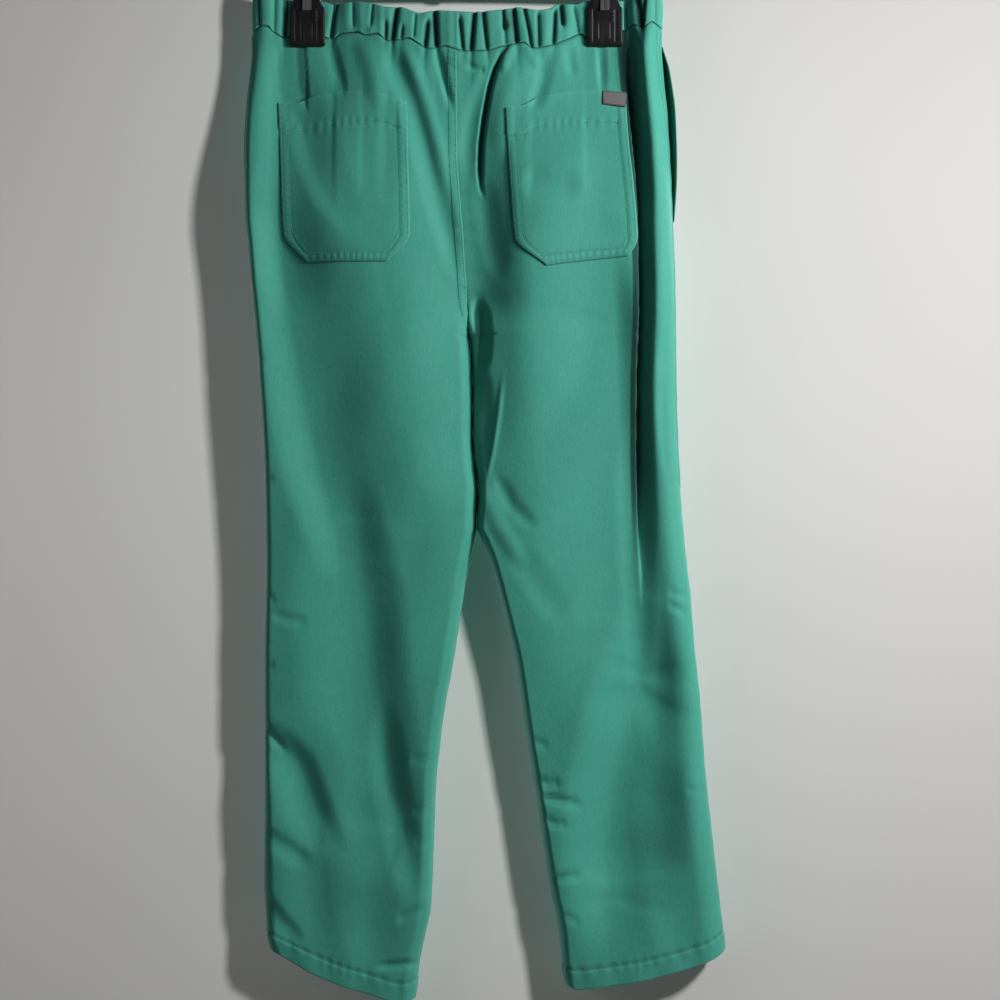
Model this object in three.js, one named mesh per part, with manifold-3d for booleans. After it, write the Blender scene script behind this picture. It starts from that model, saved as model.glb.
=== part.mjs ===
// Scrub trousers hanging from two clips, with the seat towards the viewer.
// Millimetres, +Z up, +X to the viewer's right. The seat faces -Y and the front faces +Y.
// The origin is the inside top of the hanger's hook, so every drop is a distance below it.
import * as THREE from 'three';
import Module from 'manifold-3d';
import { mergeVertices } from 'three/addons/utils/BufferGeometryUtils.js';

// Cloth
const CLOTH = 1.2; // wall of a single layer
const CASING = 2.4; // wall of the elastic waistband
const SEAM_GAP = 0.3; // between pieces sewn edge to edge
const LAYER_GAP = 0.7; // between a panel and what is sewn on it

// Heights, as drops below the hook
const WAIST_DROP = 188; // seam under the waistband
const CROTCH_DROP = 488; // where the centre seams and inseams meet
const FORK_DROP = 679; // where the legs part
const HEM_DROP = 1120;
const SEAT_CURVE = { back: 92, front: 78 }; // height over which a centre seam turns in to the crotch
const WAIST_FADE = 165; // height over which the hips fill out below the waist
const CLIP_REACH = 12; // cloth below the waist seam that the jaws still press flat
const FOLD_FADE = 30; // height over which the folds begin below the waist seam
const HEM_FADE = 260; // height over which the levels bend to the hem line

// Levels of the panels' grid
const ROWS = [
  WAIST_DROP, 204, 222, 245, 272, 305, 340, 375, 405, 430, 450, 466, 478, CROTCH_DROP,
  502, 525, 560, 605, 650, 690, 735, 785, 840, 900, 960, 1020, 1070, HEM_DROP,
];
const WAISTBAND_COLUMNS = 104;
// Columns of each panel: share of the way along it from the centre for a back and from the side for a front,
// and how many columns reach there from the last share. They stand closer beside the right side's deep fold.
const COLUMNS = {
  back_left: [[1, 22]],
  back_right: [[0.66, 16], [0.86, 12], [1, 5]],
  front_left: [[1, 16]],
  front_right: [[1, 16]],
};
const FINE_STEPS = 150; // points along one face of a section, before the columns are laid out

// The seam under the waistband and the band's top edge: x across, drop at it
const WAIST_SEAM = [
  [-203, 180], [-184, 182], [-149, 187.5], [-99, 186], [-49, 192], [-12, 199], [13, 201.5], [47, 197.5],
  [76, 195.5], [111, 189.5], [148, 183.5], [194, 176], [205, 177],
];
const BAND_TOP = [
  [-203, 141], [-180, 144], [-166, 151.5], [-131, 153], [-99, 153.5], [-84, 156], [-55, 160],
  [-36, 166], [-21, 164], [12, 165], [47, 162], [80, 162], [102, 156], [130, 152], [165, 151.5],
  [174, 144], [194, 139], [205, 142],
];
const HEM_LINE = {
  left: [[-185, 1094], [-131, 1123], [-83, 1139], [-52, 1147], [-40, 1145]],
  right: [[108, 1131], [117, 1134], [152, 1130], [183, 1125], [215, 1117], [242, 1109], [268, 1098]],
};

// Half depth of the waist seam's plan across x: flat in the clips, bulged between and beyond them
const WAIST_PLAN = [
  [-203, 7], [-192, 9], [-183, 7], [-171, 3.6], [-125, 3.6], [-108, 7], [-70, 13], [0, 16],
  [70, 13], [108, 7], [124, 3.6], [169, 3.6], [177, 7], [188, 14], [205, 9],
];
const CLIPPED_DEPTH = 3.6;
const FRONT_BULGE = 0.8; // the front bulges less than the back at the waist

// Side outline of each half: drop, x
const SIDE = {
  left: [
    [178, -203], [210, -205], [260, -210], [300, -212], [368, -211], [398, -208], [430, -205.6],
    [475, -201], [519, -197.5], [591, -193], [632, -191.3], [710, -190.4], [814, -192.2],
    [950, -192.2], [1026, -192.7], [1058, -191], [1083, -189.5], [1100, -185],
  ],
  right: [
    [178, 204], [210, 205], [232, 207], [260, 210], [292, 212], [330, 214], [370, 215.5],
    [430, 218], [560, 220], [643, 223.6], [706, 229], [747, 233.7], [791, 237], [848, 243],
    [910, 247.5], [983, 255], [1035, 261], [1073, 265.5], [1100, 268],
  ],
};
// Centre seam down to the fork, and each leg's inner outline below it: drop, x
const CENTRE_SEAM = [
  [178, 0], [300, 0.6], [385, 6.6], [450, 10.5], [475, 11], [501, 14], [537, 15.5], [591, 16],
  [617, 18.5], [638, 21.3], [665, 20], [FORK_DROP, 19.5],
];
const INNER = {
  left: [
    [FORK_DROP, 19.5], [700, 15], [733, 9], [809, -3], [864, -13], [906, -18], [930, -20.5],
    [994, -23], [1058, -26], [1074, -29.3], [1105, -36], [1147, -41],
  ],
  right: [
    [FORK_DROP, 19.5], [688, 24.5], [710, 33], [763, 47], [809, 58], [848, 64], [888, 70],
    [950, 80], [1004, 87.7], [1046, 95], [1077, 101.4], [1109, 104.5], [1134, 108.5],
  ],
};

// Depths of each half by level, and how far in from its edges the section rounds over
const SECTIONS = {
  left: [
    { drop: 178, back: 24, front: 20, outerRound: 15, innerRound: 8 },
    { drop: 260, back: 29, front: 25, outerRound: 24, innerRound: 9 },
    { drop: 340, back: 35, front: 30, outerRound: 34, innerRound: 10 },
    { drop: 440, back: 38, front: 33, outerRound: 40, innerRound: 11 },
    { drop: 500, back: 38, front: 32, outerRound: 40, innerRound: 12 },
    { drop: 600, back: 34, front: 30, outerRound: 38, innerRound: 14 },
    { drop: 750, back: 29, front: 27, outerRound: 36, innerRound: 18 },
    { drop: 900, back: 27, front: 25, outerRound: 34, innerRound: 20 },
    { drop: 1040, back: 25, front: 24, outerRound: 32, innerRound: 20 },
    { drop: 1147, back: 22, front: 21, outerRound: 28, innerRound: 18 },
  ],
  right: [
    { drop: 178, back: 24, front: 20, outerRound: 13, innerRound: 10 },
    { drop: 260, back: 28, front: 25, outerRound: 15, innerRound: 14 },
    { drop: 340, back: 33, front: 30, outerRound: 18, innerRound: 20 },
    { drop: 440, back: 35, front: 33, outerRound: 20, innerRound: 30 },
    { drop: 500, back: 34, front: 32, outerRound: 22, innerRound: 36 },
    { drop: 600, back: 32, front: 30, outerRound: 24, innerRound: 34 },
    { drop: 750, back: 29, front: 27, outerRound: 28, innerRound: 26 },
    { drop: 900, back: 27, front: 25, outerRound: 30, innerRound: 22 },
    { drop: 1040, back: 25, front: 24, outerRound: 30, innerRound: 20 },
    { drop: 1147, back: 22, front: 21, outerRound: 28, innerRound: 18 },
  ],
};
const CROWN = 0.1; // share by which the middle of a face stands proud of its shoulders

// How far the seams lie from the outline, round on the back face: drop, distance
const SIDE_SEAM_SHIFT = {
  left: [[178, 0], [1147, 0]],
  right: [[178, 5], [300, 7], [480, 9], [600, 6], [760, 0], [1147, 0]],
};
const INSEAM_SHIFT = [[CROTCH_DROP, 0], [700, 0], [940, 6], [1147, 6]];

// The main folds: path of [x, drop] points, half width and depth. A negative depth is a ridge.
const FOLDS = [
  { half: 'right', face: 'back', width: 11, depth: 14,
    path: [[167, 180], [174.5, 253], [183, 350], [186, 437], [184, 520], [184, 596], [185, 652], [188, 700], [190, 785]] },
  { half: 'right', face: 'back', width: 9, depth: 6, path: [[49, 190], [23, 270], [20, 316], [24, 350]] },
  { half: 'right', face: 'back', width: 14, depth: 6, path: [[31, 342], [47, 402], [57, 470]] },
  { half: 'right', face: 'back', width: 10, depth: -4, path: [[44, 530], [38, 566], [31, 625]] },
  { half: 'right', face: 'back', width: 14, depth: -5, path: [[188, 815], [171, 888], [158, 940]] },
  { half: 'right', face: 'back', width: 13, depth: 5, path: [[196, 835], [186, 900], [172, 965]] },
  { half: 'right', face: 'back', width: 20, depth: 4, path: [[150, 975], [166, 1025], [184, 1080]] },
  { half: 'left', face: 'back', width: 9, depth: 4, path: [[-154, 204], [-149, 252]] },
  { half: 'left', face: 'back', width: 16, depth: 5, path: [[-66, 193], [-47, 252], [-12, 380]] },
  { half: 'left', face: 'back', width: 9, depth: 3, path: [[-21, 200], [-7, 250]] },
  { half: 'left', face: 'back', width: 12, depth: 3, path: [[-150, 446], [-138, 526], [-120, 665]] },
  { half: 'left', face: 'back', width: 26, depth: 7,
    path: [[-103, 490], [-78, 690], [-66, 780], [-58, 850], [-54, 950], [-32, 1006]] },
  { half: 'left', face: 'back', width: 11, depth: 6,
    path: [[-193, 873], [-171, 897], [-157, 914], [-146, 955], [-131, 975], [-114, 996]] },
  { half: 'left', face: 'back', width: 9, depth: 3, path: [[-191, 978], [-150, 1006]] },
  { half: 'left', face: 'back', width: 9, depth: 3, path: [[-191, 1044], [-158, 1082]] },
  { half: 'left', face: 'front', width: 24, depth: 6, path: [[-96, 240], [-84, 520], [-72, 820], [-80, 1040]] },
  { half: 'left', face: 'front', width: 12, depth: 5, path: [[-8, 430], [-60, 404], [-118, 400]] },
  { half: 'left', face: 'front', width: 12, depth: 5, path: [[-190, 880], [-150, 925], [-112, 950]] },
  { half: 'right', face: 'front', width: 24, depth: 6, path: [[98, 240], [104, 520], [130, 820], [160, 1040]] },
  { half: 'right', face: 'front', width: 12, depth: 5, path: [[24, 440], [72, 408], [130, 396]] },
  { half: 'right', face: 'front', width: 13, depth: 5, path: [[236, 860], [200, 910], [150, 940]] },
];

// The waistband's gathers on each face: distance from the centre seam, depth
const GATHERS = {
  left: {
    back: [[12, 2.4], [23, 3], [33, 2.2], [47, 2.8], [61, 3.2], [71, 2], [80, 2.6], [92, 2.2], [107, 2], [122, 2.6],
      [172, 2.2], [181, 2.8], [192, 2]],
    front: [[9, 2.4], [24, 3], [37, 2.2], [52, 3], [62, 2.2], [78, 2.8], [90, 2.4], [104, 2.2], [121, 2.6],
      [174, 2.4], [187, 2.4]],
  },
  right: {
    back: [[12, 2.8], [19, 2], [31, 2.4], [47, 3.2], [59, 2.6], [73, 2.4], [88, 2.8], [100, 2.4], [113, 2.4], [122, 2],
      [173, 2.4], [184, 2.8], [195, 2.2]],
    front: [[11, 2.2], [22, 2.8], [39, 2.4], [50, 2.6], [66, 3], [77, 2.2], [92, 2.8], [107, 2.2], [119, 2.6],
      [175, 2.6], [188, 2.2]],
  },
};
const GATHER_HALF_WIDTH = 5;
const BAND_BULGE = 1.4; // the casing stands proud of its edges by this at mid height
const BAND_HEIGHTS = [0, 0.22, 0.78, 1]; // shares of the casing's height, bottom to top

// Patch pockets and the tab on one of them: outlines of [x, drop] points, clockwise from the top left
const BACK_POCKETS = {
  left: [
    [-179, 254], [-157, 254], [-147, 251], [-131, 246.5], [-107, 244.4], [-84, 245.7], [-68, 249.6], [-50, 255],
    [-48.7, 285], [-47, 330], [-45.6, 390], [-68.6, 416], [-146.6, 416], [-171, 389], [-174, 330], [-177, 283],
  ],
  right: [
    [48.3, 262], [67, 259.4], [80, 251.6], [102, 247.3], [119, 244.7], [145, 244], [168, 245],
    [170, 290], [174, 335], [178, 394], [168.5, 411], [87.5, 418.5], [57.4, 395], [52.5, 335], [49.6, 290],
  ],
};
const LABEL = [[144.5, 243.7], [169.3, 246.6], [168, 261], [145, 258]];
const LABEL_LIFT = LAYER_GAP + CLOTH + SEAM_GAP;
const LABEL_THICKNESS = 1;
const PATCH_REACH = 200; // depth of the prism that cuts a patch, of which only the seat's side is used

// The side pockets' mouths: the turned edge stands off the side by its gape at each drop
const MOUTH_ROWS = [212, 232, 262, 294, 330, 368];
const MOUTH_GAPE = {
  left: [[212, 0.6], [290, 1.2], [368, 0.6]],
  right: [[212, 0.6], [232, 6], [262, 7], [294, 6.4], [330, 4.6], [368, 0.6]],
};
const MOUTH_EDGE = -3; // the free edge's place round the section from the outline, to the back
const MOUTH_DEPTH = 22; // how far the facing reaches round to the front
const MOUTH_COLUMNS = 5;

// Hanger
const CLIP_CENTRES = { left: -149, right: 147.5 };
const CLIP_WIDTH = 35;
const CLIP_TOP_WIDTH = 27;
const CLIP_TOP_DROP = 134;
const CLIP_SHOULDER_DROP = 160;
const CLIP_BOTTOM_DROP = 198;
const JAW_FACE = 4.4; // from the mid plane to a jaw's grip
const JAW_BACK = 10.5; // from the mid plane to a jaw's outside
const RIB = { width: 2.2, height: 1, places: [-15, -8.6, 8.6, 15], top: 172, bottom: 195 };
const CROSS_RIB = { drop: 168, height: 2.4 };
const SPRING = { width: 9, thickness: 1, end: 163 };
const BAR_RADIUS = 4.5;
const BAR_END = 163;
const BAR_DROP = 146;
const BAR_ARCH = 6; // the control point's rise, twice the arch at the middle
const NECK = { radius: 8, top: 126, bottom: 149 };
const WIRE_RADIUS = 1.6;
const HOOK_RADIUS = 22;

const wasm = await Module();
wasm.setup();

const MATERIALS = {
  cloth: new THREE.MeshStandardMaterial({ color: 0x45a088, roughness: 0.75, metalness: 0 }),
  casing: new THREE.MeshStandardMaterial({ color: 0x4aa68e, roughness: 0.75, metalness: 0 }),
  label: new THREE.MeshStandardMaterial({ color: 0x6e696c, roughness: 0.7, metalness: 0 }),
  plastic: new THREE.MeshStandardMaterial({ color: 0x141416, roughness: 0.3, metalness: 0 }),
  steel: new THREE.MeshStandardMaterial({ color: 0xb9bcc0, roughness: 0.3, metalness: 1 }),
};

/** A smooth curve through [place, value] pairs that never overshoots them. */
function curveThrough(pairs) {
  const slope = pairs.slice(1).map(([place, value], i) => (value - pairs[i][1]) / (place - pairs[i][0]));
  const tangent = pairs.map((_, i) => {
    if (i === 0) return slope[0];
    if (i === pairs.length - 1) return slope[i - 1];
    const product = slope[i - 1] * slope[i];
    return product <= 0 ? 0 : (2 * product) / (slope[i - 1] + slope[i]);
  });
  return (place) => {
    const last = pairs.length - 1;
    if (place <= pairs[0][0]) return pairs[0][1];
    if (place >= pairs[last][0]) return pairs[last][1];
    const i = pairs.findIndex(([next]) => next > place) - 1;
    const span = pairs[i + 1][0] - pairs[i][0];
    const u = (place - pairs[i][0]) / span;
    const rise = pairs[i + 1][1] - pairs[i][1];
    const bend = (tangent[i] + tangent[i + 1]) * span - 2 * rise;
    const lean = 3 * rise - (2 * tangent[i] + tangent[i + 1]) * span;
    return pairs[i][1] + u * (tangent[i] * span + u * (lean + u * bend));
  };
}

const columnOf = (rows, key) => curveThrough(rows.map((row) => [row.drop, row[key]]));
const waistSeam = curveThrough(WAIST_SEAM);
const bandTop = curveThrough(BAND_TOP);
const waistPlan = curveThrough(WAIST_PLAN);
const centreSeam = curveThrough(CENTRE_SEAM);
const inseamShift = curveThrough(INSEAM_SHIFT);
const HALVES = Object.fromEntries(['left', 'right'].map((half) => [half, {
  outward: half === 'left' ? 1 : -1,
  side: curveThrough(SIDE[half]),
  leg: curveThrough(INNER[half]),
  hem: curveThrough(HEM_LINE[half]),
  back: columnOf(SECTIONS[half], 'back'),
  front: columnOf(SECTIONS[half], 'front'),
  outerRound: columnOf(SECTIONS[half], 'outerRound'),
  innerRound: columnOf(SECTIONS[half], 'innerRound'),
  seamShift: curveThrough(SIDE_SEAM_SHIFT[half]),
  gape: curveThrough(MOUTH_GAPE[half]),
}]));

const clamp01 = (value) => Math.min(1, Math.max(0, value));
const ease = (value) => clamp01(value) ** 2 * (3 - 2 * clamp01(value));
const quarterRound = (share) => Math.sqrt(1 - (1 - clamp01(share)) ** 2);

/** x of a half's inner outline, a half gap inside the shared centre seam. */
function innerX(half, drop) {
  const shared = centreSeam(drop) - (HALVES[half].outward * SEAM_GAP) / 2;
  return drop <= FORK_DROP ? shared : HALVES[half].leg(drop) - (HALVES[half].outward * SEAM_GAP) / 2;
}

/** Where a point lies beside a fold's path: its distance, and its share of the way along. */
function besidePath(path, x, drop) {
  let best = { distance: Infinity, share: 0 };
  path.slice(1).forEach(([toX, toDrop], i) => {
    const [fromX, fromDrop] = path[i];
    const runX = toX - fromX;
    const runDrop = toDrop - fromDrop;
    const along = clamp01(((x - fromX) * runX + (drop - fromDrop) * runDrop) / (runX ** 2 + runDrop ** 2));
    const distance = Math.hypot(x - fromX - along * runX, drop - fromDrop - along * runDrop);
    if (distance < best.distance) best = { distance, share: (i + along) / (path.length - 1) };
  });
  return best;
}

/** How far the folds press a face in at a point. */
function foldDepth(half, face, x, drop) {
  let depth = 0;
  for (const fold of FOLDS) {
    if (fold.half !== half || fold.face !== face) continue;
    const { distance, share } = besidePath(fold.path, x, drop);
    if (distance >= fold.width) continue;
    const taper = ease(share * 5 + 0.25) * ease((1 - share) * 5 + 0.1);
    depth += fold.depth * taper * (0.5 + 0.5 * Math.cos((Math.PI * distance) / fold.width));
  }
  return depth;
}

/** y of the cloth's outer surface at a place on one face of a half, with its folds or without. */
function clothDepth(half, face, x, drop, folded = true) {
  const shape = HALVES[half];
  const outer = shape.side(drop);
  const inner = innerX(half, drop);
  const across = clamp01((x - outer) / (inner - outer));
  const plan = waistPlan(x);
  const waist = face === 'back' ? plan : CLIPPED_DEPTH + FRONT_BULGE * (plan - CLIPPED_DEPTH);
  const filled = ease((drop - waistSeam(x) - CLIP_REACH) / WAIST_FADE);
  const body = shape[face](drop) * (1 + CROWN * (1 - (2 * across - 1) ** 2));
  const pressed = folded ? foldDepth(half, face, x, drop) * ease((drop - waistSeam(x)) / FOLD_FADE) : 0;
  const flat = waist + (body - waist) * filled - pressed;
  const outerShare = quarterRound(Math.abs(x - outer) / shape.outerRound(drop));
  const innerShare = quarterRound(Math.abs(x - inner) / shape.innerRound(drop));
  const turning = clamp01(1 - (CROTCH_DROP - drop) / SEAT_CURVE[face]);
  const turn = 1 - Math.sqrt(1 - turning ** 2);
  const depth = flat * outerShare * (1 - turn * (1 - innerShare));
  return face === 'back' ? -depth : depth;
}

/** Drop of a grid level at a share of the way in from the side. */
function levelDrop(half, row, across) {
  const shape = HALVES[half];
  const spread = (drop) => shape.side(drop) + (innerX(half, drop) - shape.side(drop)) * across;
  const seam = waistSeam(spread(waistSeam(spread(WAIST_DROP)))) + SEAM_GAP / 2;
  const waist = (seam - WAIST_DROP) * (1 - ease((row - WAIST_DROP) / WAIST_FADE));
  const hem = (shape.hem(spread(HEM_DROP)) - HEM_DROP) * (1 - ease((HEM_DROP - row) / HEM_FADE));
  return row + waist + hem;
}

/** A point of the cloth's outer surface, with its folds or without. */
function clothPoint(half, face, across, row, folded) {
  const drop = levelDrop(half, row, across);
  const outer = HALVES[half].side(drop);
  const x = outer + (innerX(half, drop) - outer) * across;
  return new THREE.Vector3(x, clothDepth(half, face, x, drop, folded), -drop);
}

/** A section's points: the back from its inner edge to the side, the front, then the back again. */
function sectionPoints(half, row, folded) {
  const shares = Array.from({ length: FINE_STEPS + 1 }, (_, i) => 0.5 + 0.5 * Math.cos((Math.PI * i) / FINE_STEPS));
  const back = shares.map((share) => clothPoint(half, 'back', share, row, folded));
  const front = shares.toReversed().map((share) => clothPoint(half, 'front', share, row, folded));
  return [...back, ...front.slice(1), ...back.slice(1, FINE_STEPS / 2)];
}

/** A half's section at a level. Its lengths are measured without the folds, so columns run straight past them. */
const sections = new Map();
function sectionAt(half, row) {
  const key = `${half} ${row}`;
  if (sections.has(key)) return sections.get(key);
  const points = sectionPoints(half, row, true);
  const smooth = sectionPoints(half, row, false);
  const lengths = [0];
  for (let i = 1; i < smooth.length; i += 1) lengths.push(lengths[i - 1] + smooth[i].distanceTo(smooth[i - 1]));
  const section = { points, lengths, closed: row >= CROTCH_DROP, side: lengths[FINE_STEPS], end: lengths[2 * FINE_STEPS] };
  sections.set(key, section);
  return section;
}

/** The point and the outward normal at a distance round a section. */
function sectionPoint(half, row, distance) {
  const step = 0.5;
  const section = sectionAt(half, row);
  const last = section.closed ? section.points.length - 1 : 2 * FINE_STEPS;
  const after = section.lengths.findIndex((length) => length > distance);
  const i = THREE.MathUtils.clamp(after < 0 ? last : after - 1, 0, last - 1);
  const share = clamp01((distance - section.lengths[i]) / (section.lengths[i + 1] - section.lengths[i]));
  const between = (points) => points[i].clone().lerp(points[i + 1], share);
  const beforeFirst = section.closed ? 2 * FINE_STEPS - 1 : 0;
  const behind = i > 0 ? i - 1 : beforeFirst;
  const ahead = Math.min(i + 2, last);
  const along = section.points[ahead].clone().sub(section.points[behind]);
  const above = Math.max(WAIST_DROP, row - step);
  const below = Math.min(HEM_DROP, row + step);
  const down = between(sectionAt(half, below).points).sub(between(sectionAt(half, above).points));
  const normal = along.cross(down).normalize().multiplyScalar(HALVES[half].outward);
  return { point: between(section.points), normal };
}

/** A closed wall between two grids of points of the same size. */
function wall(outer, inner) {
  const rows = outer.length;
  const columns = outer[0].length;
  const points = [...outer.flat(), ...inner.flat()];
  const at = (side, row, column) => side * rows * columns + row * columns + column;
  const faces = [];
  const quad = (a, b, c, d) => faces.push(a, b, c, a, c, d);
  for (let row = 0; row < rows - 1; row += 1) {
    for (let column = 0; column < columns - 1; column += 1) {
      quad(at(0, row, column), at(0, row, column + 1), at(0, row + 1, column + 1), at(0, row + 1, column));
      quad(at(1, row, column), at(1, row + 1, column), at(1, row + 1, column + 1), at(1, row, column + 1));
    }
  }
  for (let column = 0; column < columns - 1; column += 1) {
    quad(at(0, 0, column), at(1, 0, column), at(1, 0, column + 1), at(0, 0, column + 1));
    quad(at(0, rows - 1, column), at(0, rows - 1, column + 1), at(1, rows - 1, column + 1), at(1, rows - 1, column));
  }
  for (let row = 0; row < rows - 1; row += 1) {
    quad(at(0, row, 0), at(0, row + 1, 0), at(1, row + 1, 0), at(1, row, 0));
    quad(at(0, row, columns - 1), at(1, row, columns - 1), at(1, row + 1, columns - 1), at(0, row + 1, columns - 1));
  }
  return facingOut(points, faces);
}

/** A geometry of shared points whose faces are turned to point out. */
function facingOut(points, faces) {
  let volume = 0;
  for (let i = 0; i < faces.length; i += 3) {
    volume += points[faces[i]].dot(points[faces[i + 1]].clone().cross(points[faces[i + 2]]));
  }
  const geometry = new THREE.BufferGeometry().setFromPoints(points);
  geometry.setIndex(volume > 0 ? faces : faces.toReversed());
  geometry.computeVertexNormals();
  return geometry;
}

const evenly = (count) => Array.from({ length: count + 1 }, (_, i) => i / count);

/** The shares of a panel's columns, from stretches of [end, count]. */
function columnShares(stretches) {
  const shares = [0];
  for (const [end, count] of stretches) {
    const start = shares.at(-1);
    for (let i = 1; i <= count; i += 1) shares.push(start + ((end - start) * i) / count);
  }
  return shares;
}

/** The places of a trouser panel's grid. Its ends are distances round the section at each level. */
function panelGrid(half, columns, startAt, endAt) {
  return ROWS.map((row) => {
    const section = sectionAt(half, row);
    const start = startAt(section, row) + SEAM_GAP / 2;
    const end = endAt(section, row) - SEAM_GAP / 2;
    return columnShares(columns).map((share) => sectionPoint(half, row, start + (end - start) * share));
  });
}

const backGrid = (half) => panelGrid(
  half,
  COLUMNS[`back_${half}`],
  (section, row) => (row >= CROTCH_DROP ? inseamShift(row) : -SEAM_GAP / 2),
  (section, row) => section.side - HALVES[half].seamShift(row),
);
const frontGrid = (half) => panelGrid(
  half,
  COLUMNS[`front_${half}`],
  (section, row) => section.side - HALVES[half].seamShift(row),
  (section, row) => section.end + (row >= CROTCH_DROP ? inseamShift(row) : SEAM_GAP / 2),
);

/** A wall on a grid of places, between two heights over them. */
function layerOn(grid, top, bottom) {
  const at = (height) => grid.map((row) => row.map(({ point, normal }) => point.clone().addScaledVector(normal, height)));
  return wall(at(top), at(bottom));
}

/** How far the gathers draw the casing in at a distance from the centre seam. */
function gatherDepth(gathers, distance) {
  return gathers.reduce((sum, [place, depth]) => {
    const away = Math.abs(distance - place) / GATHER_HALF_WIDTH;
    return away < 1 ? sum + depth * (0.5 + 0.5 * Math.cos(Math.PI * away)) : sum;
  }, 0);
}

/** One half of the gathered elastic casing, from the centre back round the side to the centre front. */
function waistband(half) {
  const section = sectionAt(half, WAIST_DROP);
  const clip = CLIP_CENTRES[half];
  const places = evenly(WAISTBAND_COLUMNS).map((share) => {
    const distance = section.end * share;
    const { point, normal } = sectionPoint(half, WAIST_DROP, distance);
    const gathers = distance < section.side
      ? gatherDepth(GATHERS[half].back, distance)
      : gatherDepth(GATHERS[half].front, section.end - distance);
    const free = ease((Math.abs(point.x - clip) - CLIP_WIDTH / 2 - 1) / 8);
    return { point, outward: new THREE.Vector3(normal.x, normal.y, 0).normalize(), gathers, free };
  });
  const layer = (depth) => BAND_HEIGHTS.map((height) => places.map(({ point, outward, gathers, free }) => {
    const lift = free * (BAND_BULGE * Math.sin(Math.PI * height) - gathers) - depth;
    const moved = point.clone().addScaledVector(outward, lift);
    const bottom = -point.z - SEAM_GAP;
    moved.z = -(bottom + (bandTop(point.x) - bottom) * height);
    return moved;
  }));
  return wall(layer(0), layer(CASING));
}

/** The facing of a side pocket's mouth, standing off the side along its free edge. */
function mouthFacing(half) {
  const grid = MOUTH_ROWS.map((row) => {
    const section = sectionAt(half, row);
    return evenly(MOUTH_COLUMNS).map((share) => {
      const place = sectionPoint(half, row, section.side + MOUTH_EDGE + (MOUTH_DEPTH - MOUTH_EDGE) * share);
      return { ...place, lift: LAYER_GAP + HALVES[half].gape(row) * (1 - share) ** 1.5 };
    });
  });
  const raised = grid.map((row) => row.map(({ point, normal, lift }) => (
    { point: point.addScaledVector(normal, lift), normal })));
  return layerOn(raised, CLOTH, 0);
}

/** A closed three.js geometry as a manifold solid. */
function solid(geometry) {
  const bare = geometry.index ? geometry.toNonIndexed() : geometry.clone();
  bare.deleteAttribute('normal');
  bare.deleteAttribute('uv');
  const merged = mergeVertices(bare, 1e-4);
  return new wasm.Manifold(new wasm.Mesh({
    numProp: 3,
    vertProperties: new Float32Array(merged.attributes.position.array),
    triVerts: new Uint32Array(merged.index.array),
  }));
}

/** A manifold solid as a three.js geometry. */
function geometryOf(body) {
  const mesh = body.getMesh();
  const geometry = new THREE.BufferGeometry();
  geometry.setAttribute('position', new THREE.BufferAttribute(new Float32Array(mesh.vertProperties), 3));
  geometry.setIndex(new THREE.BufferAttribute(new Uint32Array(mesh.triVerts), 1));
  return geometry;
}

/** A prism along X of an outline of [y, drop] points. */
function prismAlongX(outline, width) {
  const shape = new THREE.Shape(outline.map(([y, drop]) => new THREE.Vector2(y, -drop)));
  const geometry = new THREE.ExtrudeGeometry(shape, { depth: width, bevelEnabled: false });
  geometry.translate(0, 0, -width / 2);
  // The shape's x becomes y, its y becomes z, and the extrusion runs along x.
  geometry.applyMatrix4(new THREE.Matrix4().set(0, 0, 1, 0, 1, 0, 0, 0, 0, 1, 0, 0, 0, 0, 0, 1));
  return geometry;
}

/** A prism along Y of an outline of [x, drop] points. */
function prismAlongY(outline, depth) {
  const shape = new THREE.Shape(outline.map(([x, drop]) => new THREE.Vector2(x, -drop)));
  const geometry = new THREE.ExtrudeGeometry(shape, { depth, bevelEnabled: false });
  // The shape's y becomes z, and the extrusion runs towards the seat's side.
  geometry.rotateX(Math.PI / 2);
  return geometry;
}

/** A patch sewn on a panel: the panel's own surface, moved out and cut to an outline. */
function patch(grid, outline, lift, thickness) {
  const sheet = solid(layerOn(grid, lift + thickness, lift));
  return geometryOf(sheet.intersect(solid(prismAlongY(outline, PATCH_REACH))));
}

/** A box from its centre and its size. */
function block(x, y, drop, width, depth, height) {
  return new THREE.BoxGeometry(width, depth, height).translate(x, y, -drop);
}

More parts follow.
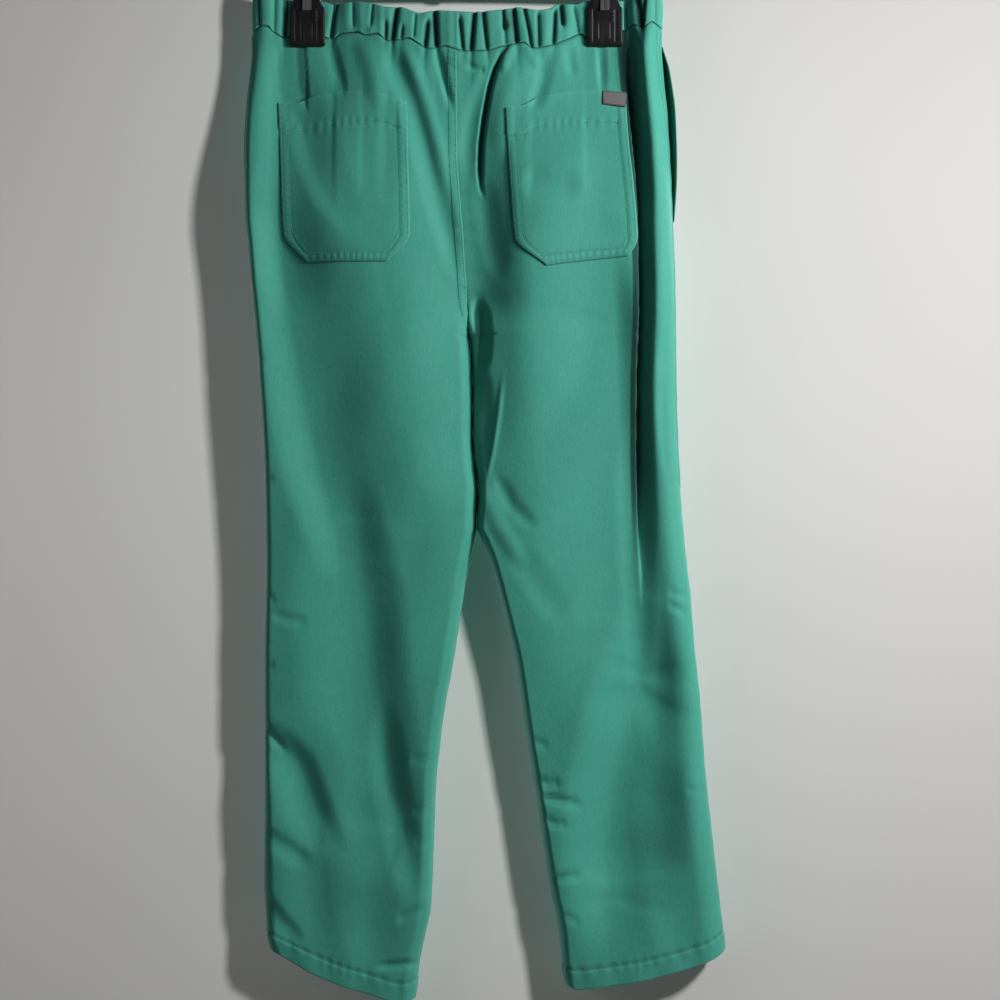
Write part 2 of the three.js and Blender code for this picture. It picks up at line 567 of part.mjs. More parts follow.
/** One ribbed jaw of a clip. The side is -1 on the seat's side and 1 on the front's. */
function clipJaw(side) {
  const profile = [
    [JAW_FACE, CLIP_BOTTOM_DROP], [7.6, CLIP_BOTTOM_DROP], [8.8, CLIP_BOTTOM_DROP - 4], [JAW_BACK, 172],
    [JAW_BACK, CLIP_TOP_DROP + 2], [JAW_BACK - 2, CLIP_TOP_DROP], [6, CLIP_TOP_DROP],
    [BAR_RADIUS + 0.4, CLIP_TOP_DROP + 3], [BAR_RADIUS + 0.4, 153], [JAW_FACE, 158],
  ];
  const half = CLIP_WIDTH / 2;
  const neck = CLIP_TOP_WIDTH / 2;
  const outline = [
    [-half + 1.5, CLIP_BOTTOM_DROP], [half - 1.5, CLIP_BOTTOM_DROP], [half, CLIP_BOTTOM_DROP - 2],
    [half, CLIP_SHOULDER_DROP], [neck, CLIP_SHOULDER_DROP - 5], [neck, CLIP_TOP_DROP + 3], [neck - 3, CLIP_TOP_DROP],
    [-neck + 3, CLIP_TOP_DROP], [-neck, CLIP_TOP_DROP + 3], [-neck, CLIP_SHOULDER_DROP - 5], [-half, CLIP_SHOULDER_DROP],
    [-half, CLIP_BOTTOM_DROP - 2],
  ];
  let body = solid(prismAlongX(profile.map(([y, drop]) => [y * side, drop]), CLIP_WIDTH + 2));
  const ribs = RIB.places.map((place) => block(
    place, side * (JAW_BACK - 1.6), (RIB.top + RIB.bottom) / 2, RIB.width, 2 * RIB.height + 1.2, RIB.bottom - RIB.top,
  ));
  ribs.push(block(0, side * (JAW_BACK - 0.6), CROSS_RIB.drop, CLIP_WIDTH, 2 * RIB.height + 1.2, CROSS_RIB.height));
  for (const rib of ribs) body = body.add(solid(rib));
  return geometryOf(body.intersect(solid(prismAlongY(outline, 4 * JAW_BACK).translate(0, 2 * JAW_BACK, 0))));
}

/** The strip spring that clasps both jaws over the clip's top. */
function clipSpring() {
  const inside = JAW_BACK + 0.3;
  const outside = inside + SPRING.thickness;
  const top = CLIP_TOP_DROP - 0.3;
  const outer = [[-outside, SPRING.end], [-outside, top + 1], [-outside + 3, top - SPRING.thickness]];
  const inner = [[-inside, SPRING.end], [-inside, top + 1.6], [-inside + 2.4, top]];
  const flip = (points) => points.map(([y, drop]) => [-y, drop]).toReversed();
  return prismAlongX([...outer, ...flip(outer), ...inner.concat(flip(inner)).toReversed()], SPRING.width);
}

/** A round section for wires and bars. */
function roundSection(radius, sides) {
  const corner = (i) => new THREE.Vector2(
    radius * Math.cos((2 * Math.PI * i) / sides), radius * Math.sin((2 * Math.PI * i) / sides));
  return new THREE.Shape(Array.from({ length: sides }, (_, i) => corner(i)));
}

/** The hanger's bar, slightly arched, with the neck that holds the hook. */
function hangerBar() {
  const path = new THREE.QuadraticBezierCurve3(
    new THREE.Vector3(-BAR_END, 0, -BAR_DROP),
    new THREE.Vector3(0, 0, -BAR_DROP + BAR_ARCH),
    new THREE.Vector3(BAR_END, 0, -BAR_DROP),
  );
  const bar = new THREE.ExtrudeGeometry(roundSection(BAR_RADIUS, 10), { steps: 10, bevelEnabled: false, extrudePath: path });
  const profile = [
    [0, NECK.bottom], [NECK.radius - 2, NECK.bottom], [NECK.radius, NECK.bottom - 3], [NECK.radius, NECK.top + 9],
    [NECK.radius - 3, NECK.top + 2], [NECK.radius - 4, NECK.top], [0, NECK.top],
  ].map(([radius, drop]) => new THREE.Vector2(radius, -drop));
  const neck = new THREE.LatheGeometry(profile, 16).rotateX(Math.PI / 2);
  return geometryOf(solid(bar).add(solid(neck)));
}

/** The wire hook: a shank that rises from the neck and turns over the rod it hangs from. */
function hangerHook() {
  const centre = WIRE_RADIUS - HOOK_RADIUS;
  const turn = [-38, -10, 20, 55, 90, 125, 160, 188, 206].map((degrees) => {
    const angle = THREE.MathUtils.degToRad(degrees);
    return new THREE.Vector3(HOOK_RADIUS * Math.cos(angle), 0, centre + HOOK_RADIUS * Math.sin(angle));
  });
  const shank = [-NECK.top + SEAM_GAP, -100, -72, -56].map((z) => new THREE.Vector3(0, 0, z));
  shank.push(new THREE.Vector3(6, 0, -45));
  const path = new THREE.CatmullRomCurve3([...shank, ...turn], false, 'centripetal');
  return new THREE.ExtrudeGeometry(roundSection(WIRE_RADIUS, 8), { steps: 40, bevelEnabled: false, extrudePath: path });
}

const trousers = new THREE.Group();

/** Adds a piece to the group. */
function place(name, geometry, material, x = 0) {
  const mesh = new THREE.Mesh(geometry, material);
  mesh.name = name;
  mesh.position.x = x;
  trousers.add(mesh);
}

for (const half of ['left', 'right']) {
  const seat = backGrid(half);
  place(`back_panel_${half}`, layerOn(seat, 0, -CLOTH), MATERIALS.cloth);
  place(`front_panel_${half}`, layerOn(frontGrid(half), 0, -CLOTH), MATERIALS.cloth);
  place(`waistband_${half}`, waistband(half), MATERIALS.casing);
  place(`back_pocket_${half}`, patch(seat, BACK_POCKETS[half], LAYER_GAP, CLOTH), MATERIALS.cloth);
  place(`side_pocket_facing_${half}`, mouthFacing(half), MATERIALS.cloth);
  place(`clip_back_jaw_${half}`, clipJaw(-1), MATERIALS.plastic, CLIP_CENTRES[half]);
  place(`clip_front_jaw_${half}`, clipJaw(1), MATERIALS.plastic, CLIP_CENTRES[half]);
  place(`clip_spring_${half}`, clipSpring(), MATERIALS.steel, CLIP_CENTRES[half]);
}
place('pocket_label', patch(backGrid('right'), LABEL, LABEL_LIFT, LABEL_THICKNESS), MATERIALS.label);
place('hanger_bar', hangerBar(), MATERIALS.plastic);
place('hanger_hook', hangerHook(), MATERIALS.steel);

export default trousers;
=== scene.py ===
"""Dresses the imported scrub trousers: cut and sewn cloth, gathered casing, pockets, hanger and studio."""
import logging
import math
from collections.abc import Sequence
from dataclasses import dataclass, field
from enum import Enum

import bpy
import numpy as np
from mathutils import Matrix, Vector


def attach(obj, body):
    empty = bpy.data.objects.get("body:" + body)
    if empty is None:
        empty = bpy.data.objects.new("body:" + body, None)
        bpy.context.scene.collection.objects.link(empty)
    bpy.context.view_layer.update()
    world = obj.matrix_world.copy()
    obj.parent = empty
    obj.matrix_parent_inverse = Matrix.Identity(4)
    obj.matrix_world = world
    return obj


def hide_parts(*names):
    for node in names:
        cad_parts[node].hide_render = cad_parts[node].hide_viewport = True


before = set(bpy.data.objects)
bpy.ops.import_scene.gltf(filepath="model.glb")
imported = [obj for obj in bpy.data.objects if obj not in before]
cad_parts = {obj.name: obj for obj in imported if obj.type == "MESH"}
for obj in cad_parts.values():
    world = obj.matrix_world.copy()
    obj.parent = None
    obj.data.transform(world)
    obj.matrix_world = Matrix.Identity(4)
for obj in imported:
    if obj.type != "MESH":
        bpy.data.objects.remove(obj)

LOG = logging.getLogger("trousers")
MM = 0.001
# How far, in millimetres, the lengths along a fold's straight runs are blended at its bends
BEND_BLEND = 4.0
# How fast a fold deepens from its ends, and how deep it starts and ends
TAPER_RATE = 3.4
TAPER_START = 0.16
TAPER_END = 0.03
Pairs = Sequence[tuple[float, float]]
Array = np.ndarray


class Half(Enum):
    """The half of the trousers on the viewer's left or right, with the sign that turns its normals out."""

    LEFT = ("left", 1.0)
    RIGHT = ("right", -1.0)

    @property
    def label(self) -> str:
        """The half's name in the frame's nodes."""
        return self.value[0]

    @property
    def outward(self) -> float:
        """The sign of a normal made from a grid's columns and rows."""
        return self.value[1]


class Face(Enum):
    """The two faces of the hanging trousers."""

    BACK = "back"
    FRONT = "front"


class SmoothCurve:
    """A smooth curve through (place, value) pairs that never overshoots them."""

    def __init__(self, pairs: Pairs) -> None:
        """Works out the tangents at the pairs."""
        self.places, self.values = np.array(pairs, dtype=float).T
        slope = np.diff(self.values) / np.diff(self.places)
        self.tangents = np.concatenate([slope[:1], np.zeros(len(pairs) - 2), slope[-1:]])
        product = slope[:-1] * slope[1:]
        total = slope[:-1] + slope[1:]
        inner = np.where(product > 0, 2 * product / np.where(product > 0, total, 1), 0)
        self.tangents[1:-1] = inner

    def __call__(self, place: Array | float) -> Array:
        """The curve's value at each place, held level past its ends."""
        place = np.clip(place, self.places[0], self.places[-1])
        i = np.clip(np.searchsorted(self.places, place, side="right") - 1, 0, len(self.places) - 2)
        span = self.places[i + 1] - self.places[i]
        u = (place - self.places[i]) / span
        rise = self.values[i + 1] - self.values[i]
        start, end = self.tangents[i] * span, self.tangents[i + 1] * span
        return self.values[i] + u * (start + u * (3 * rise - 2 * start - end + u * (start + end - 2 * rise)))


def ease(value: Array | float) -> Array:
    """A smooth step from 0 to 1."""
    value = np.clip(value, 0, 1)
    return value**2 * (3 - 2 * value)


def quarter_round(share: Array | float) -> Array:
    """A quarter circle from 0 at the edge to 1 on the face."""
    return np.sqrt(1 - (1 - np.clip(share, 0, 1)) ** 2)


def unit(vectors: Array) -> Array:
    """The vectors at length 1."""
    return vectors / np.maximum(np.linalg.norm(vectors, axis=-1, keepdims=True), 1e-9)


@dataclass(frozen=True)
class Fold:
    """A soft trough, or a ridge where its depth is negative, along a path of (x, drop) points in millimetres.

    The path runs downward, and the trough reaches so far to the viewer's left of it and so far to the right.
    Narrowing is the share of its reach that it loses at its ends, tucked says how far its floor slides sideways
    under its lip, and the last field says how much painted shade darkens the colour of its floor.
    """

    half: Half
    face: Face
    path: Pairs
    left: float
    right: float
    depth: float
    crisp: float = 1.0
    narrowing: float = 0.4
    tucked: float = 0.0
    # How much painted shade darkens the fold's floor, from 0 to 1
    painted_floor_shade: float = 0.0

    def press(self, x: Array, drop: Array) -> Array:
        """How far the fold presses the face in.

        Args:
            x: Places across, in millimetres.
            drop: Drops below the hook, in millimetres.

        Returns:
            The depth at each place, in millimetres, below zero for a ridge.
        """
        aways, shares, sides = [], [], []
        for i, (start, end) in enumerate(zip(self.path[:-1], self.path[1:])):
            run_x, run_drop = end[0] - start[0], end[1] - start[1]
            off_x, off_drop = x - start[0], drop - start[1]
            along = np.clip((off_x * run_x + off_drop * run_drop) / (run_x**2 + run_drop**2), 0, 1)
            aways.append(np.hypot(off_x - along * run_x, off_drop - along * run_drop))
            shares.append((i + along) / (len(self.path) - 1))
            sides.append((off_x * run_drop - off_drop * run_x) / math.hypot(run_x, run_drop))
        distance = np.array(aways)
        nearest = distance.min(axis=0)
        weight = np.exp(-(((distance - nearest) / BEND_BLEND) ** 2))
        share = (weight * np.array(shares)).sum(axis=0) / weight.sum(axis=0)
        side = np.take_along_axis(np.array(sides), distance.argmin(axis=0)[None], axis=0)[0]
        taper = ease(share * TAPER_RATE + TAPER_START) * ease((1 - share) * TAPER_RATE + TAPER_END)
        lean = np.clip(side / np.maximum(nearest, 1e-6), -1, 1)
        reach = 0.5 * (self.left + self.right + (self.right - self.left) * lean)
        reach = reach * (1 - self.narrowing * (1 - taper))
        profile = 0.5 + 0.5 * np.cos(np.pi * np.minimum(nearest / reach, 1))
        return self.depth * taper * profile**self.crisp


L, R, BACK, FRONT = Half.LEFT, Half.RIGHT, Face.BACK, Face.FRONT

# The main folds, each with its path, its reach to the left and right and its depth, and for a few the painted shade
# on their floors
MAIN_FOLDS = (
    Fold(
        R, BACK,
        [
            (152, 40), (156, 95), (161, 150), (168, 190), (173, 253), (180, 350), (182, 437), (182, 470),
            (180, 530), (180, 600), (182, 680), (185, 760),
        ],
        2.4, 15, 32, narrowing=-0.4, tucked=7, painted_floor_shade=0.85,
    ),
    Fold(R, BACK, [(180, 560), (183, 640), (188, 730), (194, 820), (202, 910)], 30, 34, 6),
    Fold(R, BACK, [(178, 80), (180, 130), (183, 190), (189, 240), (195, 300), (200, 380)], 15, 18, -9),
    Fold(R, BACK, [(150, 400), (156, 480), (160, 580), (164, 680), (168, 780), (174, 900)], 104, 34, 11),
    Fold(R, BACK, [(84, 260), (84, 330), (80, 430), (72, 520), (64, 610)], 56, 64, -4.2),
    Fold(R, BACK, [(13, 440), (14, 510), (16, 590), (20, 660), (30, 720)], 30, 66, 6.4),
    Fold(
        R, BACK,
        [
            (62, 160), (58, 180), (53, 194), (44, 206), (37, 222), (32, 240), (27, 268), (23.5, 296),
            (22.5, 322),
            (23.5, 340), (27, 354),
        ],
        3.4, 5.6, 10, painted_floor_shade=0.6,
    ),
    Fold(R, BACK, [(42, 206), (27, 236), (16, 266), (11, 300), (12, 340)], 12, 14, 2.2),
    Fold(R, BACK, [(70, 200), (56, 232), (45, 268), (40, 318)], 18, 20, -2.4),
    Fold(R, BACK, [(24, 330), (31, 368), (39, 406), (44, 436)], 16, 18, 2),
    Fold(R, BACK, [(20, 450), (24, 492), (21, 530)], 10, 14, 11),
    Fold(R, BACK, [(20, 510), (25, 570), (22, 632)], 10, 16, 5),
    Fold(R, BACK, [(46, 526), (41, 570), (36, 600), (28, 640)], 4.5, 4, -2),
    Fold(R, BACK, [(38, 624), (55, 657), (80, 680)], 10, 12, 2.4),
    Fold(R, BACK, [(20, 628), (43, 678), (70, 720)], 13, 13, -2.2),
    Fold(R, BACK, [(56, 695), (84, 740), (110, 776)], 18, 22, 1.6),
    Fold(
        R, BACK,
        [
                (192, 750), (185, 828), (171, 888), (161, 927), (155, 975), (152, 1040), (154, 1130)
        ],
        56, 84, 24,
    ),
    Fold(R, BACK, [(202, 900), (208, 970), (214, 1040), (222, 1130)], 34, 40, 4),
    Fold(R, BACK, [(64, 334), (90, 341), (126, 345)], 22, 22, 2.2),
    Fold(R, BACK, [(89, 190), (85, 232), (74, 268)], 10, 13, 3.4),
    Fold(R, BACK, [(141, 160), (142, 190), (143, 215), (145, 256)], 5, 9, 2.6),
    Fold(L, BACK, [(-154, 160), (-153, 188), (-151, 225), (-148, 268)], 12, 2.6, 4.2, painted_floor_shade=0.6),
    Fold(L, BACK, [(-164, 225), (-153, 275), (-140, 318), (-124, 352), (-100, 392)], 20, 34, 3.2),
    Fold(L, BACK, [(-130, 176), (-124, 200), (-117, 225), (-110, 256)], 12, 8, 2.2),
    Fold(L, BACK, [(-96, 182), (-85, 220), (-74, 268)], 15, 15, -2),
    Fold(
        L, BACK,
        [
                (-71, 184), (-60, 220), (-47, 252), (-36, 290), (-23, 340), (-8, 394), (2, 440)
        ],
        16, 19, 5,
    ),
    Fold(L, BACK, [(-56, 186), (-42, 225), (-29, 265), (-17, 310), (-6, 366)], 12, 12, -2.4),
    Fold(L, BACK, [(-22, 192), (-15, 225), (-4, 268)], 5, 8, 4),
    Fold(L, BACK, [(-181, 190), (-179, 300), (-174, 390), (-164, 480)], 30, 64, 9),
    Fold(
        L, BACK,
        [
                (-178, 350), (-170, 430), (-156, 510), (-140, 590), (-122, 660), (-106, 740)
        ],
        44, 92, 13.4,
    ),
    Fold(
        L, BACK,
        [
                (4, 170), (4, 300), (9, 380), (17, 450), (24, 510), (28, 590), (30, 660), (24, 780)
        ],
        76, 60, 12,
    ),
    Fold(
        L, BACK,
        [
                (-112, 620), (-100, 710), (-92, 790), (-84, 860), (-76, 930), (-62, 984), (-33, 1006)
        ],
        76, 50, 13,
    ),
    Fold(L, BACK, [(-72, 850), (-64, 930), (-50, 1000), (-40, 1050)], 24, 22, 4),
    Fold(L, BACK, [(-197, 868), (-172, 896), (-157, 914), (-147, 942), (-133, 974), (-108, 1006)], 34, 24, 7),
    Fold(L, BACK, [(-203, 862), (-184, 880), (-166, 902)], 7, 6, 3),
    Fold(L, BACK, [(-196, 974), (-170, 992), (-142, 1012)], 16, 12, 3.2),
    Fold(L, BACK, [(-196, 1038), (-176, 1064), (-152, 1090)], 16, 13, 3.2),
    Fold(L, BACK, [(-156, 860), (-148, 950), (-138, 1030), (-128, 1130)], 40, 46, 6),
    Fold(L, BACK, [(-104, 930), (-96, 1000), (-88, 1060), (-80, 1130)], 36, 44, 5),
    Fold(L, FRONT, [(-120, 240), (-112, 400), (-96, 560), (-86, 700), (-78, 860), (-80, 1040)], 30, 60, 9),
    Fold(L, FRONT, [(-58, 196), (-48, 240), (-30, 300), (-12, 380)], 16, 14, 6),
    Fold(L, FRONT, [(-8, 430), (-60, 404), (-118, 400)], 12, 12, 5),
    Fold(L, FRONT, [(-190, 880), (-150, 925), (-112, 950)], 12, 14, 6),
    Fold(L, FRONT, [(-186, 1000), (-150, 1030), (-110, 1050)], 12, 14, 4),
    Fold(R, FRONT, [(118, 240), (112, 400), (120, 600), (132, 820), (160, 1040)], 60, 30, 9),
    Fold(R, FRONT, [(60, 196), (52, 240), (36, 300), (22, 370)], 14, 16, 6),
    Fold(R, FRONT, [(24, 440), (72, 408), (130, 396)], 12, 12, 5),
    Fold(R, FRONT, [(178, 200), (184, 320), (186, 440), (190, 560)], 14, 12, 7),
    Fold(R, FRONT, [(236, 860), (200, 910), (150, 940)], 13, 13, 6),
)

# Finer creases, with how crisp each is where it is a sharp one
CREASES = (
    Fold(R, BACK, [(9, 216), (19, 222), (30, 223)], 6, 6, 2.4),
    Fold(R, BACK, [(51, 196), (49, 212), (46, 228)], 7, 7, -2.4),
    Fold(R, BACK, [(72, 196), (75, 208), (80, 222)], 7, 7, -2.4),
    Fold(R, BACK, [(110, 192), (112, 210), (116, 232)], 8, 8, 1.8),
    Fold(R, BACK, [(208, 741), (219, 743), (233, 748)], 5, 5, 2.4, 1.3),
    Fold(R, BACK, [(208, 752), (219, 757), (231, 766)], 6, 6, 2.6, 1.3),
    Fold(R, BACK, [(64, 886), (78, 889), (94, 895)], 6, 6, 2, 1.4),
    Fold(R, BACK, [(76, 926), (90, 930), (106, 929)], 5, 6, 3.4, 1.4),
    Fold(R, BACK, [(82, 944), (102, 947), (128, 953)], 5, 7, 4.4, 1.3),
    Fold(R, BACK, [(86, 966), (98, 970), (112, 971)], 5, 6, 3.4, 1.4),
    Fold(R, BACK, [(88, 1030), (106, 1023), (128, 1021)], 5, 7, 4.6, 1.4),
    Fold(R, BACK, [(96, 1060), (110, 1062), (124, 1068)], 6, 6, 1.8, 1.4),
    Fold(R, BACK, [(226, 936), (238, 938), (248, 939)], 5, 5, 1.5, 1.4),
    Fold(L, BACK, [(-24, 905), (-36, 906), (-48, 910)], 5, 5, 2, 1.4),
    Fold(L, BACK, [(-22, 955), (-34, 955), (-46, 958)], 5, 5, 1.8, 1.4),
    Fold(L, BACK, [(-22, 990), (-32, 988), (-44, 986)], 5, 5, 1.8, 1.4),
    Fold(L, BACK, [(-28, 1054), (-44, 1058), (-62, 1067)], 7, 7, 3, 1.3),
    Fold(L, BACK, [(-34, 1109), (-52, 1109), (-84, 1112)], 8, 8, 3, 1.2),
    Fold(L, BACK, [(-199, 511), (-186, 512)], 5, 5, 1.8, 1.4),
    Fold(L, BACK, [(-192, 628), (-178, 629)], 5, 5, 1.8, 1.4),
    Fold(L, BACK, [(-191, 738), (-184, 746), (-178, 752)], 5, 5, 1.8, 1.4),
    Fold(L, BACK, [(-184, 762), (-164, 768), (-144, 771)], 7, 7, 2.6, 1.3),
    Fold(L, BACK, [(-193, 812), (-178, 815)], 5, 5, 2, 1.4),
    Fold(L, BACK, [(-178, 190), (-176, 215), (-174, 240)], 8, 8, 1.8),
    Fold(R, BACK, [(216, 300), (211, 360), (213, 430)], 7, 7, 1.4),
    Fold(R, BACK, [(206, 480), (203, 560), (208, 640)], 8, 8, 2),
    Fold(L, FRONT, [(-14, 470), (-44, 448), (-86, 440)], 8, 8, 2.5),
    Fold(R, FRONT, [(30, 478), (66, 450), (104, 446)], 8, 8, 2.5),
    Fold(L, FRONT, [(-188, 640), (-160, 652), (-126, 650)], 9, 9, 2.5),
    Fold(R, FRONT, [(222, 700), (196, 706), (160, 700)], 9, 9, 2.5),
    Fold(R, FRONT, [(206, 736), (184, 742), (150, 738)], 8, 8, 2),
    Fold(L, FRONT, [(-30, 905), (-48, 908), (-66, 914)], 6, 6, 2, 1.4),
    Fold(R, FRONT, [(84, 946), (104, 948), (126, 955)], 6, 6, 2.4, 1.4),
)

# The casing's seam and top edge as they wave between the gathers on the back
SEAM_LINE = [
    (-203, 181), (-195, 176), (-188, 177), (-184, 181), (-172, 186.5), (-166, 185.5), (-131, 187),
    (-123, 187.5),
    (-117, 184), (-99, 182.7), (-91.5, 186), (-80, 185), (-68, 192), (-61, 191.5), (-48.4, 190), (-37, 196),
    (-28, 200), (-12, 198), (-1, 201), (13, 202.6), (30, 201.7), (47, 197.4), (66, 194), (76, 199),
    (93.5, 195.6),
    (111, 188.7), (123, 183.6), (130, 186), (168, 179), (176, 175), (184, 178.5), (194, 173), (205, 179),
]
TOP_LINE = [
    (-203, 141), (-180, 144), (-166, 151.5), (-131, 153), (-125, 154.5), (-99, 153.5), (-83.5, 156),
    (-68, 159.6), (-55, 160), (-44, 164), (-36, 166), (-21, 163.5), (-4, 164.4), (12, 165), (25, 164.6),
    (47, 162),
    (62.5, 160), (80, 162.4), (92, 160.5), (102, 156), (119, 155), (128, 152), (165, 151.5), (174, 144),
    (194, 139),
    (205, 142),
]

WAIST_SEAM = [
    (-203, 180), (-184, 182), (-149, 187.5), (-99, 186), (-49, 192), (-12, 199), (13, 201.5), (47, 197.5),
    (76, 195.5), (111, 189.5), (148, 183.5), (194, 176), (205, 177),
]
BAND_TOP = [
    (-203, 141), (-180, 144), (-166, 151.5), (-131, 153), (-99, 153.5), (-84, 156), (-55, 160),
    (-36, 166), (-21, 164), (12, 165), (47, 162), (80, 162), (102, 156), (130, 152), (165, 151.5),
    (174, 144), (194, 139), (205, 142),
]
WAIST_PLAN = [
    (-203, 7), (-192, 9), (-183, 7), (-171, 3.6), (-125, 3.6), (-108, 7), (-70, 13), (0, 16),
    (70, 13), (108, 7), (124, 3.6), (169, 3.6), (177, 7), (188, 14), (205, 9),
]
HEM_LINE = {
    L: [(-185, 1094), (-131, 1123), (-83, 1139), (-52, 1147), (-40, 1145)],
    R: [(108, 1131), (117, 1134), (152, 1130), (183, 1125), (215, 1117), (242, 1109), (268, 1098)],
}
SIDE = {
    L: [
        (178, -203), (210, -205), (260, -210), (300, -212), (368, -211), (398, -208), (430, -205.6),
        (475, -201), (519, -197.5), (591, -193), (632, -191.3), (710, -190.4), (814, -192.2),
        (950, -192.2), (1026, -192.7), (1058, -191), (1083, -189.5), (1100, -185),
    ],
    R: [
        (178, 204), (210, 205), (232, 207), (260, 210), (292, 212), (330, 214), (370, 215.5),
        (430, 218), (560, 220), (643, 223.6), (706, 229), (747, 233.7), (791, 237), (848, 243),
        (910, 247.5), (983, 255), (1035, 261), (1073, 265.5), (1100, 268),
    ],
}
CENTRE_SEAM = [
    (178, 0), (300, 0.6), (385, 6.6), (450, 10.5), (475, 11), (501, 14), (537, 15.5), (591, 16),
    (617, 18.5), (638, 21.3), (665, 20), (679, 19.5),
]
INNER_LEG = {
    L: [
        (679, 19.5), (700, 15), (733, 9), (809, -3), (864, -13), (906, -18), (930, -20.5),
        (994, -23), (1058, -26), (1074, -29.3), (1105, -36), (1147, -41),
    ],
    R: [
        (679, 19.5), (688, 24.5), (710, 33), (763, 47), (809, 58), (848, 64), (888, 70),
        (950, 80), (1004, 87.7), (1046, 95), (1077, 101.4), (1109, 104.5), (1134, 108.5),
    ],
}
# Section sizes by level: drop, back depth, front depth, outer rounding, inner rounding
SECTIONS = {
    L: [
        (178, 24, 20, 9, 8), (260, 29, 25, 9, 9), (340, 35, 30, 9, 10), (440, 38, 33, 9, 11),
        (500, 38, 32, 9, 12), (600, 34, 30, 8, 12), (750, 29, 27, 8, 12), (900, 27, 25, 9, 12),
        (1040, 25, 24, 13, 13), (1147, 22, 21, 13, 13),
    ],
    R: [
        (178, 24, 20, 13, 10), (260, 28, 25, 15, 14), (340, 33, 30, 18, 16), (440, 35, 33, 20, 17),
        (500, 34, 32, 22, 15), (600, 32, 30, 24, 10), (700, 30, 28, 26, 8), (900, 27, 25, 28, 8),
        (1040, 25, 24, 26, 9), (1147, 22, 21, 26, 9),
    ],
}
SIDE_SEAM_SHIFT = {
    L: [(178, 0), (1147, 0)],
    R: [(178, 5), (300, 7), (480, 9), (600, 6), (760, 0), (1147, 0)],
}
INSEAM_SHIFT = [(488, 0), (700, 0), (940, 6), (1147, 6)]

# The casing's creases: x at its top, x at its seam, depth, and where each starts and ends above the seam
GATHERS = {
    (L, BACK): [
        (-198, -197, 1.6, 0.0, 1.0), (-181, -182, 1.2, 0.0, 1.0), (-168, -171, 3.2, 0.0, 1.0),
        (-121, -125.5, 3.0, 0.0, 1.0), (-104, -103, 1.0, 0.2, 1.0), (-84, -86, 1.3, 0.3, 1.0),
        (-70, -71, 1.8, 0.0, 0.5), (-59.5, -64, 3.6, 0.0, 0.96), (-52, -55, 1.6, 0.0, 0.35),
        (-41, -43, 1.0, 0.1, 0.9),
        (-28, -31.5, 3.0, 0.0, 0.7), (-22, -20, 3.8, 0.0, 0.97),
    ],
    (R, BACK): [
        (2, 6, 2.2, 0.0, 0.8), (17.5, 14.5, 3.6, 0.0, 1.0), (26, 30, 2.4, 0.0, 1.0),
        (46.5, 49, 3.0, 0.5, 1.0),
        (47.5, 49, 1.6, 0.0, 0.6), (56, 59.5, 4.2, 0.0, 0.95), (67, 74, 2.4, 0.0, 1.0),
        (81, 82, 2.0, 0.0, 0.9),
        (98.5, 96.5, 2.6, 0.0, 0.85), (104, 107, 2.8, 0.45, 1.0), (116, 121, 1.2, 0.0, 0.9),
        (167, 168, 3.6, 0.0, 1.0), (178, 183, 2.8, 0.0, 1.0), (188, 183.5, 2.4, 0.0, 1.0),
        (198, 198, 1.2, 0.0, 1.0),
    ],
    (L, FRONT): [
        (-196, -194, 2.0, 0.0, 1.0), (-182, -185, 2.6, 0.0, 1.0), (-172, -171, 2.0, 0.0, 0.7),
        (-122, -124, 3.0, 0.0, 1.0),
        (-108, -105, 2.0, 0.0, 0.8), (-94, -96, 3.2, 0.0, 1.0), (-80, -77, 2.2, 0.3, 1.0),
        (-66, -68, 3.4, 0.0, 0.9),
        (-52, -54, 2.0, 0.0, 0.7), (-38, -35, 3.2, 0.0, 1.0), (-24, -26, 2.4, 0.0, 0.8),
        (-10, -8, 3.0, 0.0, 1.0),
    ],
    (R, FRONT): [
        (10, 12, 2.6, 0.0, 1.0), (23, 21, 3.2, 0.0, 0.9), (38, 40, 2.0, 0.2, 1.0), (51, 49, 3.4, 0.0, 1.0),
        (66, 68, 2.4, 0.0, 0.8), (80, 77, 3.0, 0.0, 1.0), (95, 96, 2.2, 0.3, 1.0), (108, 110, 3.0, 0.0, 0.9),
        (121, 119, 2.4, 0.0, 1.0), (173, 175, 2.8, 0.0, 1.0), (186, 184, 2.2, 0.0, 0.8),
        (197, 198, 2.4, 0.0, 1.0),
    ],
}


